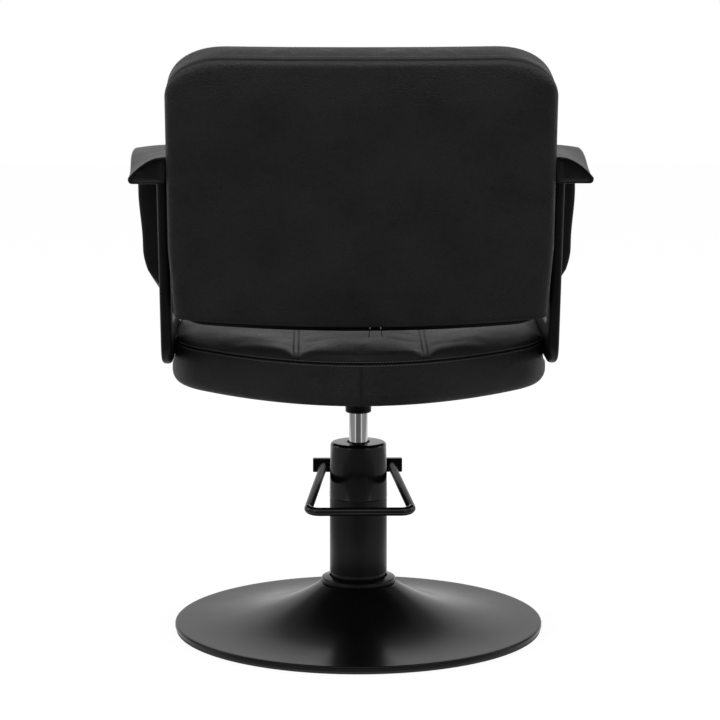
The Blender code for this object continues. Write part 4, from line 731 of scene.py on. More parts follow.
class MakePedal(bpy.types.Operator):
    """Bent pedal bar, its cross bar and the plunger that it pushes"""
    bl_idname = "salon_chair.pedal"
    bl_label = "Pedal"

    def execute(self, context):
        """Builds the bar as one smooth bend, its sides duller than its rail, and dresses the rest."""
        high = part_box("pedal_bar")[1]
        radius, wider, rail_z = 0.0065, 0.0040, 0.2198
        corner = Vector((high.x - radius + wider, high.y - radius, rail_z))
        start = Vector((0.0545, -0.0737, 0.2440))
        square = start + Vector((0, radius, 0))
        run = [square.lerp(corner, k / 12) for k in range(11)]
        turn = bend(corner, (start - corner).normalized(), Vector((-1, 0, 0)), 0.017, 14)
        left = [start] + run + turn
        right = [Vector((-p.x, p.y, p.z)) for p in reversed(left)]
        middle = [turn[-1].lerp(right[0], k / 8) for k in range(1, 8)]
        bar = new_object("bent_bar", *tube(left + middle + right, radius, 28), "enamel")
        bar.data.materials.append(finished("tube_paint"))
        for face in bar.data.polygons:
            face.material_index = int(face.center.y < turn[0].y)
        settle(smooth(bar, radians(50)), "pedal", "pedal_paint", "pedal_bar")
        dress("satin_paint", "pedal_cross_bar")
        dress("zinc", "pivot_pin")
        dress("chrome", "pump_plunger")
        self.make_spring()
        return {"FINISHED"}

    def make_spring(self):
        """The plunger's return spring, standing on its barrel."""
        low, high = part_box("plunger_spring")
        wire, turns, steps, stroke = 0.0008, 6, 28, 0.0115
        middle = (low + high) / 2
        radius = (high.x - low.x) / 2 - wire
        close = 2.3 * wire
        rise = high.z - low.z - 2 * wire - 2 * close
        route = []
        for k in range(turns * steps + 1):
            turn = k / steps
            level = close * (min(turn, 1.0) + max(turn - turns + 1, 0.0))
            level += rise * min(max((turn - 1) / (turns - 2), 0.0), 1.0)
            angle = 2 * pi * turn
            route.append((middle.x + radius * cos(angle), middle.y + radius * sin(angle),
                          low.z + wire + level))
        spring = new_object("return_spring", *tube(route, wire, 10), "steel")
        settle(smooth(spring, radians(60)), "base", "steel", "plunger_spring")
        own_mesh(spring)


# Sewn covers


def corner_drop(x, half, corner):
    """How far a round corner draws the edge in at a place across."""
    past = abs(x) - (half - corner)
    return corner - sqrt(max(corner * corner - past * past, 0.0)) if past > 0 else 0.0


def seat_edges(x):
    """Front and rear seam of the seat at a place across."""
    form = chosen().shape
    share = 1 - (x / form.seat_half) ** 2
    drop = corner_drop(x, form.seat_half, form.seat_corner)
    front = form.seat_front - form.seat_front_bow * share + drop
    return front, form.seat_rear + form.seat_rear_bow * share - drop


def back_edges(half):
    """Lower and upper seam of the back at a place across, for one half width."""
    form = chosen().shape

    def edges(x):
        share = 1 - (x / half) ** 2
        low = corner_drop(x, half, form.back_low_corner) - form.back_low_bow * share
        low += form.back_low_lift * (1 - share)
        fall = corner_drop(x, half, form.back_top_corner) * form.back_top_fall / form.back_top_corner
        return low, form.back_height - fall - form.back_top_dip * share
    return edges


def back_shape(x, y):
    """Draws the back's sides in towards its foot."""
    form = chosen().shape
    past = max(1 - y / form.back_taper_height, 0.0)
    return x * (1 - form.back_taper / form.back_half * past), y


def seat_place():
    """From the tilted seat to the chair."""
    form = chosen().shape
    return Matrix.Translation((0, 0, form.seat_pivot)) @ Matrix.Rotation(-form.seat_tilt, 4, "X")


def back_place():
    """From the leaning back to the chair: x across, y up the back, z towards the sitter."""
    form = chosen().shape
    foot = Matrix.Translation((0, form.back_foot_y, form.back_foot_z))
    return foot @ Matrix.Rotation(pi / 2 - form.back_recline, 4, "X")


def columns_across(half, corner, strips):
    """Places across a cover: even cells, three rows at each sewn strip and close rows in the corners."""
    sewing = chosen().sewing
    panel = chosen().shape.panel_half
    close, beside_dart = 0.0015, 0.0014
    arcs = [half - corner + corner * sin(pi / 2 * k / 8) for k in range(1, 9)]
    if strips:
        beside = sewing.strip_half + 1.8 * sewing.seam_row
        right = [beside_dart] + spread(0, panel - beside, sewing.cell)[1:]
        for fold in (panel - sewing.strip_half, panel + sewing.strip_half):
            right += [fold - close, fold, fold + close]
        right += spread(panel + beside, half - corner, sewing.cell)
    else:
        right = spread(0, half - corner, sewing.cell)[1:]
    right += arcs
    return [-x for x in reversed(right)] + [0.0] + right


def rows_along(reach):
    """Shares along a cover: two close rows at each end and even cells between."""
    sewing = chosen().sewing
    near = [0.0, sewing.seam_row, 2.2 * sewing.seam_row]
    start = near[-1] + 0.7 * sewing.cell
    inside = spread(start, reach - start, sewing.cell)
    return [d / reach for d in near + inside + [reach - d for d in reversed(near)]]


def stuffed(x, y, edges, half, roll, reach, crown):
    """Height of a stuffed face over its seam: a round roll at the edge and a slow crown."""
    low, high = edges
    edge = max(min(half - abs(x), high - y, y - low), 0.0)
    inside = 1 - min(edge / reach, 1.0)
    rise = sqrt(max(1 - inside * inside, 0.0))
    across = 1 - (x / half) ** 2
    along = 1 - ((2 * y - low - high) / (high - low)) ** 2
    return rise, roll * rise + crown * across * along


def strip_pull(x, width):
    """How much of a sewn strip's depth, and of the fold at its stitches, is felt at a place across."""
    fold = 0.0010
    past = abs(abs(x) - chosen().shape.panel_half) - chosen().sewing.strip_half
    return exp(-(max(past, 0.0) / width) ** 2), exp(-(past / fold) ** 2)


class Cover:
    """A sewn cover on a grid: its face, the rings of its sides, and where its seams run."""

    def __init__(self, columns, shares, edges, height, rings, half, shape=None, strips=False, dart=0.0,
                 sag=None):
        shape = shape or (lambda x, y: (x, y))
        self.points, self.faces, self.sewn, self.seam_map = [], [], set(), []
        panel, strip = chosen().shape.panel_half, chosen().sewing.strip_half
        for x in columns:
            low, high = edges(x)
            for share in shares:
                y = low + (high - low) * share
                self.points.append((*shape(x, y), height(x, y)))
                gaps = [(y - low, x), (high - y, x), (half - abs(x), y)]
                if strips:
                    gaps.append((abs(abs(abs(x) - panel) - strip), y))
                away, along = min(gaps)
                self.seam_map.append((along, away))
        ids = np.arange(len(columns) * len(shares)).reshape(len(columns), len(shares))
        for i in range(len(columns) - 1):
            for j in range(len(shares) - 1):
                self.faces.append((ids[i, j], ids[i + 1, j], ids[i + 1, j + 1], ids[i, j + 1]))
        self.sewn.update(int(k) for k in np.r_[ids[:, :3].ravel(), ids[:, -3:].ravel(), ids[:3].ravel(),
                                               ids[-3:].ravel()])
        if strips:
            self.sewn.update(int(ids[i, j]) for i, x in enumerate(columns) for j in range(len(shares))
                             if abs(abs(x) - panel) < strip + 0.0016)
        last = [int(k) for k in np.r_[ids[:, 0], ids[-1, 1:-1], ids[::-1, -1], ids[0, 1:-1][::-1]]]
        self.outline = [self.points[k][:2] for k in last]
        walked = np.r_[0.0, np.cumsum([(Vector(a) - Vector(b)).length
                                       for a, b in zip(self.outline, self.outline[1:])])]
        self.valley = list(range(len(self.points), len(self.points) + len(last)))
        first, closing = rings[0][1], rings[-3][1]
        for order, (outset, level, held) in enumerate(rings):
            start = len(self.points)
            ring = list(range(start, start + len(last)))
            inside = order >= len(rings) - 3
            away = 0.0 if inside else min(abs(level - first), abs(level - closing))
            for (x, y), along in zip(offset(self.outline, outset), walked):
                drop = dart if x == 0 and y > 0 else 0.0
                drop += sag(x, y, level) if sag else 0.0
                self.points.append((x, y - drop, level))
                self.seam_map.append((float(along), min(away, abs(x)) if dart and y > 0 else away))
            for i in range(len(ring)):
                k = (i + 1) % len(ring)
                self.faces.append((last[i], last[k], ring[k], ring[i]))
            if held:
                self.sewn.update(ring)
            last = ring

    def make(self, name, finish, place):
        """The cover as an object, with its seam map and its seam kept crisp."""
        made = new_object(name, [place @ Vector(p) for p in self.points], self.faces, finish)
        mesh, crisp = made.data, 0.85
        layer = mesh.uv_layers.new(name="seam_map")
        for loop in mesh.loops:
            layer.data[loop.index].uv = self.seam_map[loop.vertex_index]
        crease = mesh.attributes.new("crease_edge", "FLOAT", "EDGE")
        seam = {frozenset(pair) for pair in zip(self.valley, self.valley[1:] + self.valley[:1])}
        for edge in mesh.edges:
            if frozenset(edge.vertices) in seam:
                crease.data[edge.index].value = crisp
        return made


def stuff(made, sewn):
    """Swells a cover between its seams with Blender's cloth, then holds each point near where it began."""
    sewing = chosen().sewing
    scene = bpy.context.scene
    start = np.array([v.co for v in made.data.vertices])
    group = made.vertex_groups.new(name="sewn")
    group.add(sorted(sewn), 1.0, "REPLACE")
    cloth = made.modifiers.new("stuffing", "CLOTH")
    how = cloth.settings
    how.vertex_group_mass = "sewn"
    how.quality = 6
    how.mass = 0.25
    how.tension_stiffness = 30
    how.compression_stiffness = 30
    how.shear_stiffness = 12
    how.bending_stiffness = 0.8
    how.use_pressure = True
    how.uniform_pressure_force = sewing.pressure
    how.shrink_min = -sewing.slack
    how.effector_weights.gravity = 0.0
    cloth.collision_settings.use_collision = False
    cloth.point_cache.frame_start = 1
    cloth.point_cache.frame_end = sewing.frames
    for step in range(1, sewing.frames + 1):
        scene.frame_set(step)
    solved = made.evaluated_get(bpy.context.evaluated_depsgraph_get()).data
    end = np.array([v.co for v in solved.vertices])
    made.modifiers.remove(cloth)
    made.vertex_groups.clear()
    scene.frame_set(1)
    moved = end - start
    far = np.linalg.norm(moved, axis=1, keepdims=True)
    moved *= np.minimum(1.0, sewing.most_move / np.maximum(far, 1e-9))
    made.data.vertices.foreach_set("co", (start + moved).ravel())
    made.data.update()


def finish_cover(cover, name, place, widest, rail=0.0):
    """Stuffs a cover, smooths it and keeps it off the arms. Below the arms' rail it may swell further."""
    swell, ramp = 0.0060, 0.010
    made = cover.make(name, "leatherette", place)
    stuff(made, cover.sewn)
    finer = made.modifiers.new("finer", "SUBSURF")
    finer.levels = 1
    finer.render_levels = 1
    bake_modifiers(made)
    for vertex in made.data.vertices:
        most = widest + swell * ease((rail - vertex.co.z) / ramp)
        vertex.co.x = min(max(vertex.co.x, -most), most)
    closing = bmesh.new()
    closing.from_mesh(made.data)
    bmesh.ops.holes_fill(closing, edges=[e for e in closing.edges if e.is_boundary], sides=0)
    closing.to_mesh(made.data)
    closing.free()
    made.data.shade_smooth()
    return made


def stitches(surface, routes, size, gap, radius):
    """Points and faces of stitches along routes laid on a surface, each dipping in at both ends."""
    tree = BVHTree.FromObject(surface, bpy.context.evaluated_depsgraph_get())
    made = []
    for route in routes:
        route = [Vector(p) for p in route]
        walked = [0.0]
        for a, b in zip(route, route[1:]):
            walked.append(walked[-1] + (b - a).length)
        count = int(walked[-1] // (size + gap))

        def at(distance):
            k = int(np.searchsorted(walked, distance, side="right")) - 1
            k = min(max(k, 0), len(route) - 2)
            share = (distance - walked[k]) / max(walked[k + 1] - walked[k], 1e-9)
            return route[k].lerp(route[k + 1], share)

        for n in range(count):
            start = n * (size + gap) + gap / 2
            path = []
            for share, lift in ((0.0, -0.9), (0.18, 0.35), (0.5, 0.62), (0.82, 0.35), (1.0, -0.9)):
                spot, normal, _, _ = tree.find_nearest(at(start + share * size))
                path.append(spot + normal * radius * lift)
            made.append(tube(path, radius, 6, (0.6, 1.0, 1.06, 1.0, 0.6)))
    return gathered(made)


def sew(name, surface, routes, finish):
    """Rows of stitches on a cover, as one piece."""
    sewing = chosen().sewing
    laid = stitches(surface, routes, sewing.stitch, sewing.stitch_gap, sewing.thread)
    settle(smooth(new_object(name, *laid, finish), radians(80)), "seat", "leatherette")


def strip_rows(edges, spot):
    """Routes of the stitches on both sides of each sewn strip. spot places a point of the cover."""
    form, sewing = chosen().shape, chosen().sewing
    end, step = 0.004, 0.006
    rows = []
    for side in (-1, 1):
        for edge in (-1, 1):
            x = side * (form.panel_half + edge * sewing.strip_half)
            low, high = edges(x)
            rows.append([spot(x, y) for y in spread(low + end, high - end, step)])
    return rows


def closed_route(outline, level, place):
    """An outline at one level as a closed route in the chair."""
    points = [place @ Vector((x, y, level)) for x, y in outline]
    return points + points[:1]


class MakeSeat(bpy.types.Operator):
    """Seat cushion in three sewn panels with boxing, its stitches, dust cloth and core"""
    bl_idname = "salon_chair.seat"
    bl_label = "Seat"

    def execute(self, context):
        """Builds and stuffs the cover, sews it and dresses the core."""
        form, sewing = chosen().shape, chosen().sewing
        place = seat_place()
        reach, rail = 0.47, 0.4420
        columns = columns_across(form.seat_half, form.seat_corner, True)
        cover = Cover(columns, rows_along(reach), seat_edges, self.height, self.rings(), form.seat_half,
                      strips=True, dart=sewing.dart)
        cushion = finish_cover(cover, "seat_cushion", place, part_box("seat_cover")[1].x + 0.0002, rail)
        settle(cushion, "seat", "leatherette", "seat_cover")
        self.sew_seat(cushion, cover.outline, place)
        self.make_dust_cloth(cover.outline, place)
        dress("satin_paint", "mount_plate")
        dress("zinc", *[f"plate_bolt_{k}" for k in range(1, 5)])
        dress("plywood", "seat_board", "seat_rail_left", "seat_rail_right")
        dress("foam", "seat_foam")
        return {"FINISHED"}

    def height(self, x, y):
        """The seat's top: three stuffed panels between two sewn strips."""
        form = chosen().shape
        reach = 0.024 - 0.008 * ease((form.panel_half - abs(x)) / 0.030)
        rise, over = stuffed(x, y, seat_edges(x), form.seat_half, form.seat_roll, reach, form.seat_crown)
        pull, fold = strip_pull(x, 0.0085)
        return form.seat_seam + over - rise * (form.strip_depth * pull + chosen().sewing.line * fold)

    def rings(self):
        """Rings of the boxing as (outset, height, held): seam fold, full side, tuck and hem."""
        form, sewing = chosen().shape, chosen().sewing
        seam, low = form.seat_seam, form.seat_low
        tall = seam - low
        rings = [(-sewing.groove, seam - 0.0008, True), (-0.0002, seam - 0.0022, True),
                 (0.0010, seam - 0.0060, True)]
        swell = ((0.24, 0.0026), (0.38, 0.0032), (0.52, 0.0044), (0.66, 0.0054), (0.78, 0.0050))
        rings += [(outset, seam - share * tall, False) for share, outset in swell]
        return rings + [(0.0024, low + 0.12 * tall, True), (-0.0016, low + 0.04 * tall, True),
                        (-0.0060, low, True), (-0.0120, low + 0.0002, True), (-0.0130, low + 0.0045, True)]

    def sew_seat(self, cushion, outline, place):
        """Two rows along the top seam, two at each strip and one beside the seam down the rear."""
        seam, foot, beside = chosen().shape.seat_seam, chosen().shape.seat_low, 0.0026
        rows = [closed_route(offset(outline, -0.0012), seam + 0.002, place),
                closed_route(offset(outline, 0.0004), seam - 0.0030, place)]
        rows += strip_rows(seat_edges, lambda x, y: place @ Vector((x, y, self.height(x, y))))
        sew("seat_stitching", cushion, rows, "thread")
        rear = seat_edges(0.0)[1] + beside
        dart = [place @ Vector((beside, rear, level)) for level in spread(foot + 0.006, seam - 0.006, 0.006)]
        sew("dart_stitching", cushion, [dart], "hem_thread")

    def make_dust_cloth(self, outline, place):
        """The cloth stapled under the seat round the plate, sagging a little between its edges."""
        inset, level, thick, most_sag, rings = 0.0196, 0.0056, 0.0006, 0.0009, 14
        half_x, half_y, corner = 0.1006, 0.0906, 0.0156
        edge = offset(outline, -inset)
        hole = oblong(-half_x, half_x, -half_y, half_y, corner, 6)
        around = [self.hole_edge(hole, np.arctan2(y, x)) for x, y in edge]
        points = []
        for ring in range(rings + 1):
            share = ring / rings
            for (x, y), (hx, hy) in zip(edge, around):
                px, py = hx + (x - hx) * share, hy + (y - hy) * share
                sag = most_sag * sin(pi * share) * (1 + 0.4 * sin(px * 70) * cos(py * 60))
                points.append(place @ Vector((px, py, level - sag)))
        cloth = new_object("under_cloth", points, bands(len(edge), rings + 1), "dust_cloth")
        cloth.modifiers.new("thick", "SOLIDIFY").thickness = thick
        bake_modifiers(cloth)
        settle(smooth(cloth), "seat", "dust_cloth", "dust_cover")
        area = abs(sum(a[0] * b[1] - b[0] * a[1] for a, b in zip(edge, edge[1:] + edge[:1]))) / 2
        area -= 4 * half_x * half_y
        sewing = chosen().sewing
        staples = stitches(cloth, [closed_route(offset(outline, -0.0245), 0.004, place)], sewing.staple,
                           sewing.staple_gap, 0.0006)
        settle(smooth(new_object("staples", *staples, "zinc"), radians(80)), "seat", "zinc")

    def hole_edge(self, hole, angle):
        """Where a ray from the middle meets the hole's outline."""
        ray = Vector((cos(angle), sin(angle)))
        best = 0.0
        for a, b in zip(hole, hole[1:] + hole[:1]):
            a, b = Vector(a), Vector(b)
            side = b - a
            cross = ray.x * side.y - ray.y * side.x
            if abs(cross) < 1e-12:
                continue
            reach = (a.x * side.y - a.y * side.x) / cross
            along = (a.x * ray.y - a.y * ray.x) / cross
            if reach > 0 and -1e-6 <= along <= 1 + 1e-6:
                best = max(best, reach)
        return ray * best


class MakeBack(bpy.types.Operator):
    """Back with a sewn front cover in three panels, boxing and a padded rear panel"""
    bl_idname = "salon_chair.back"
    bl_label = "Back"

    def execute(self, context):
        """Builds, stuffs and sews both halves and dresses the core."""
        form = chosen().shape
        place = back_place()
        reach = 0.385
        columns = columns_across(form.back_half, form.back_top_corner, True)
        front = Cover(columns, rows_along(reach), back_edges(form.back_half), self.front_height,
                      self.front_rings(), form.back_half, back_shape, True, sag=self.sag)
        pad = finish_cover(front, "back_front_pad", place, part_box("back_cover")[1].x + 0.0002)
        settle(pad, "seat", "leatherette", "back_cover")
        columns = columns_across(form.rear_half, form.back_top_corner, False)
        rear = Cover(columns, rows_along(reach), back_edges(form.rear_half), self.rear_height,
                     self.rear_rings(), form.rear_half, back_shape)
        panel = finish_cover(rear, "back_rear_pad", place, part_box("back_rear_panel")[1].x + 0.0010)
        settle(panel, "seat", "leatherette", "back_rear_panel")
        self.sew_back(pad, front.outline, panel, place)
        self.leave_tails(place)
        dress("plywood", "back_board")
        dress("foam", "back_front_foam", "back_rear_foam")
        return {"FINISHED"}

    def front_height(self, x, y):
        """The back's front: three stuffed panels between two sewn strips."""
        form = chosen().shape
        roll, reach, crown, strip_depth = 0.0085, 0.020, 0.0075, 0.0055
        edges = back_edges(form.back_half)(x)
        rise, over = stuffed(x, y, edges, form.back_half, roll, reach, crown)
        pull, fold = strip_pull(x, 0.0085)
        return form.back_depth + over - rise * (strip_depth * pull + chosen().sewing.line * fold)

    def rear_height(self, x, y):
        """The rear panel's face: a soft roll inside the seam and a slight crown."""
        form = chosen().shape
        roll, reach, crown, under, narrow = 0.0165, 0.019, 0.0020, 0.011, 0.0016
        low, high = back_edges(form.rear_half)(x)
        _, over = stuffed(x, y, (low - under, high), form.rear_half, roll, reach, crown)
        hem = exp(-((y - low - 2.2 * chosen().sewing.seam_row) / narrow) ** 2)
        return form.rear_seam - over + chosen().sewing.line * hem

    def sag(self, x, y, level):
        """How far the boxing hangs under the rear panel at the back's foot."""
        form = chosen().shape
        tall, wide, deepest, spread_out = 0.030, 0.045, 0.014, 0.020
        foot = ease(1 - y / tall) * ease((form.back_half - abs(x)) / wide)
        return form.back_sag * foot * exp(-((level - deepest) / spread_out) ** 2)

    def front_rings(self):
        """Rings of the boxing, from the front seam to the seam at the rear panel."""
        form, sewing = chosen().shape, chosen().sewing
        deep, low = form.back_depth, form.rear_seam + 0.0104
        rings = [(-sewing.groove, deep - 0.0006, True), (-0.0004, deep - 0.0030, True),
                 (0.0006, deep - 0.0070, True)]
        rings += [(0.0014, deep - share * (deep - low), False)
                  for share in (0.20, 0.32, 0.44, 0.56, 0.68, 0.80)]
        return rings + [(0.0014, low + 0.0060, True), (0.0012, low + 0.0014, True),
                        (0.0, low - 0.0022, True), (-0.0062, low - 0.0050, True),
                        (-0.0095, low - 0.0050, True)]

    def rear_rings(self):
        """Rings of the rear panel's edge, folded in to the seam."""
        seam = chosen().shape.rear_seam
        return [(0.0, seam + 0.0014, True), (-0.0010, seam + 0.0030, True), (-0.0062, seam + 0.0042, True),
                (-0.0095, seam + 0.0046, True)]

    def sew_back(self, pad, outline, panel, place):
        """Rows along both seams of the boxing, at each strip and along the rear panel's hem."""
        form, beside, row = chosen().shape, 0.0026, 0.0055
        rows = [closed_route(offset(outline, -beside), form.back_depth + 0.003, place),
                closed_route(offset(outline, 0.0006), form.back_depth - beside - 0.001, place),
                closed_route(offset(outline, 0.0010), form.rear_seam + 0.0154, place)]

        def on_front(x, y):
            return place @ Vector((*back_shape(x, y), self.front_height(x, y)))

        sew("back_stitching", pad, rows + strip_rows(back_edges(form.back_half), on_front), "thread")
        edges = back_edges(form.rear_half)
        hem = []
        for x in spread(-form.rear_half + 0.012, form.rear_half - 0.012, 0.008):
            y = edges(x)[0] + row
            hem.append(place @ Vector((*back_shape(x, y), self.rear_height(x, y))))
        sew("hem_stitching", panel, [hem], "hem_thread")

    def leave_tails(self, place):
        """Two loose thread ends that hang under the rear panel, with a painted highlight above and the dark
        thread below.
        """
        sewing, steps, highlight_share = chosen().sewing, 6, 0.4
        ends = []
        for x, lean in ((-0.0135, 0.002), (-0.0290, -0.003)):
            top = place @ Vector((x, -0.0085, -0.0030))
            route = [top + Vector((lean * (k / steps) ** 2, 0.0012 * sin(k), -sewing.tail * k / steps))
                     for k in range(steps + 1)]
            ends.append(tube(route, sewing.thread * 1.3, 6))
        # The upper part of each tail takes the paler colour as a painted highlight; lower down it takes the
        # dark thread.
        tails = smooth(new_object("thread_tails", *gathered(ends), "thread_tail"), radians(80))
        tails.data.materials.append(finished("hem_thread"))
        for face in tails.data.polygons:
            face.material_index = int(face.center.z < top.z - highlight_share * sewing.tail)
        settle(tails, "seat", "leatherette")


# Arms, with the place of their inner face and the thickness of their thin part

ARM_INNER, ARM_THICK = 0.2818, 0.0166


class MakeArms(bpy.types.Operator):
    """Two moulded loop arms and the bolts that hold them"""
    bl_idname = "salon_chair.arms"
    bl_label = "Arms"

    def execute(self, context):
        """Builds the left arm and its bolts, then their mirror images."""
        for name, side in (("left", 1), ("right", -1)):
            self.make_arm(name, side)
        return {"FINISHED"}

    def make_arm(self, name, side):
        """One arm: thin upright and rail joined to the wide pad and leg, with sunk bolts."""
        def flipped(rings):
            return [[(side * x, y, z) for x, y, z in ring] for ring in rings]

        arm = new_object(f"moulded_arm_{name}", *lofted(flipped(self.thin_rings())), "moulded")
        wide = new_object(f"arm_pad_{name}", *lofted(flipped(self.wide_rings())), "moulded")
        combine(arm, wide, "UNION")
        out = Vector((side, 0, 0))
        cup_radius, cup_depth, clear = 0.0080, 0.0012, 0.02
        for bolt in [f"arm_{where}_bolt_{name}_{which}" for where in ("seat", "back") for which in (1, 2)]:
            foot = self.make_bolt(bolt, side)
            cup = tube([foot - cup_depth * out, foot + clear * out], cup_radius, 32)
            combine(arm, new_object("bolt_cup", *cup, "moulded"), "DIFFERENCE")
        settle(smooth(arm, radians(38)), "seat", "moulded_black", f"arm_{name}")

    def thin_rings(self):
        """The rear upright and lower rail as rings across their thickness, long edges rounded."""
        corners = [(0.201, 0.732, 0.0), (0.134, 0.505, 0.030), (-0.085, 0.505, 0.0), (-0.085, 0.443, 0.021),
                   (0.166, 0.443, 0.042), (0.238, 0.732, 0.0)]
        outline = rounded(corners, 16)
        edge = 0.0070
        turns = [radians(9.0 * k) for k in range(11)]
        low = [(edge * (1 - sin(a)), ARM_INNER + edge * (1 - cos(a))) for a in turns]
        high = [(inset, 2 * ARM_INNER + ARM_THICK - x) for inset, x in reversed(low)]
        return [[(x, y, z) for y, z in offset(outline, -inset)] for inset, x in low + high]

    def wide_path(self):
        """Centre line of the pad, front leg and the taper into the rail, and where each stretch ends."""
        corners = [Vector(p) for p in ((0.247, 0.744), (-0.150, 0.744), (-0.096, 0.474), (-0.010, 0.474))]
        toward = [(b - a).normalized() for a, b in zip(corners, corners[1:])]
        top = bend(corners[1], -toward[0], toward[1], 0.050, 18)
        foot = bend(corners[2], -toward[1], toward[2], 0.100, 22)
        pad = [corners[0].lerp(top[0], k / 28) for k in range(28)]
        leg = [top[-1].lerp(foot[0], k / 14) for k in range(1, 14)]
        tail = [foot[-1].lerp(corners[3], k / 5) for k in range(1, 6)]
        foot_start = len(pad) + len(top) + len(leg)
        path = pad + top + leg + foot + tail
        ends = [0, len(pad), len(pad) + len(top) - 1, foot_start, foot_start + len(foot) - 1, len(path) - 1]
        return path, ends

    def wide_section(self, width, half, droop):
        """The pad's section as (across, out): flat below, its top drooping outwards, all edges rounded."""
        def top(share):
            return half - droop * share ** 2.1

        thin = (top(1.0) + half) / 2
        corners = [(0.0, -half, min(0.0050, 0.7 * half)), (width, -half, min(0.0062, 1.3 * thin)),
                   (width, top(1.0), min(0.0060, 0.8 * thin))]
        corners += [(width * share, top(share), 0.0) for share in (0.84, 0.70, 0.56, 0.42, 0.28)]
        corners += [(0.0, half, min(0.0060, 0.7 * half))]
        return rounded(corners, 7)

    def wide_rings(self):
        """Rings along the wide part, its rear end sunk inside a rim and leaning to face up."""
        path, ends = self.wide_path()
        skin, lean = 0.0012, 0.16
        widths = [0.0572, 0.0712, 0.0672, 0.0597] + [ARM_THICK - 2 * skin] * 2
        inners = [ARM_INNER + skin] * 4 + [ARM_INNER + 2 * skin] * 2
        halves = [0.020, 0.013, 0.013, 0.013, 0.0286, 0.0286]
        droops = [0.0312, 0.006, 0.0, 0.0, 0.0, 0.0]
        taper = ends[:3] + [ends[3] - 4, (ends[3] + ends[4]) / 2, ends[5]]

        def between(marks, values, station):
            for k in range(len(marks) - 1):
                if station <= marks[k + 1]:
                    share = ease((station - marks[k]) / (marks[k + 1] - marks[k]))
                    return values[k] + (values[k + 1] - values[k]) * share
            return values[-1]

        rings = []
        for station, centre in enumerate(path):
            along = (path[min(station + 1, len(path) - 1)] - path[max(station - 1, 0)]).normalized()
            out = Vector((along.y, -along.x))
            low = between(taper, inners, station)
            section = self.wide_section(between(taper, widths, station) - (low - ARM_INNER),
                                        between(ends, halves, station), between(ends, droops, station))
            rings.append([(low + p, centre.x + out.x * q, centre.y + out.y * q) for p, q in section])
        first = rings[0]
        middle_x = sum(p[0] for p in first) / len(first)
        middle_z = sum(p[2] for p in first) / len(first)
        sunk = []
        for share, depth in ((0.30, 0.0048), (0.55, 0.0044), (0.72, 0.0034), (0.82, 0.0020), (0.87, 0.0007),
                             (0.91, 0.0), (0.955, 0.0003), (0.985, 0.0014), (1.0, 0.0034)):
            tilt = 0.0 if share > 0.85 else lean
            sunk.append([(middle_x + share * (x - middle_x), y - depth - tilt * share * (z - middle_z),
                          middle_z + share * (z - middle_z)) for x, y, z in first])
        return sunk + rings[1:]

    def make_bolt(self, node, side):
        """A button-head bolt with a hexagon socket. Returns the middle of its head's foot."""
        low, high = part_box(node)
        head_x = high.x if side > 0 else low.x
        y, z = (low.y + high.y) / 2, (low.z + high.z) / 2
        radius, tall, brim, key, deep, sunk = 0.0072, 0.0045, 0.0012, 0.0026, 0.0028, 0.0013
        foot = head_x - side * (tall + sunk)
        shank, into = 0.004, 0.030
        steps = [2 * pi * k / 36 for k in range(36)]

        def circle(r, height):
            return [(r, angle, height) for angle in steps]

        def hexagon(height):
            return [(key * (cos(pi / 6) / cos(angle % (pi / 3) - pi / 6)), angle, height)
                    for angle in steps]

        rings = [circle(shank, -into), circle(shank, 0.0), circle(radius, 0.0), circle(radius, brim)]
        rings += [circle(radius * cos(a), brim + (tall - brim) * sin(a))
                  for a in (radians(12 * k) for k in range(1, 6))]
        rings += [hexagon(tall), hexagon(tall - deep)]
        placed = [[(foot + side * h, y + r * cos(a), z + r * sin(a)) for r, a, h in ring] for ring in rings]
        bolt = new_object(f"button_{node}", *lofted(placed), "zinc")
        settle(smooth(bolt), "seat", "zinc", node)
        return Vector((foot, y, z))


# Stage


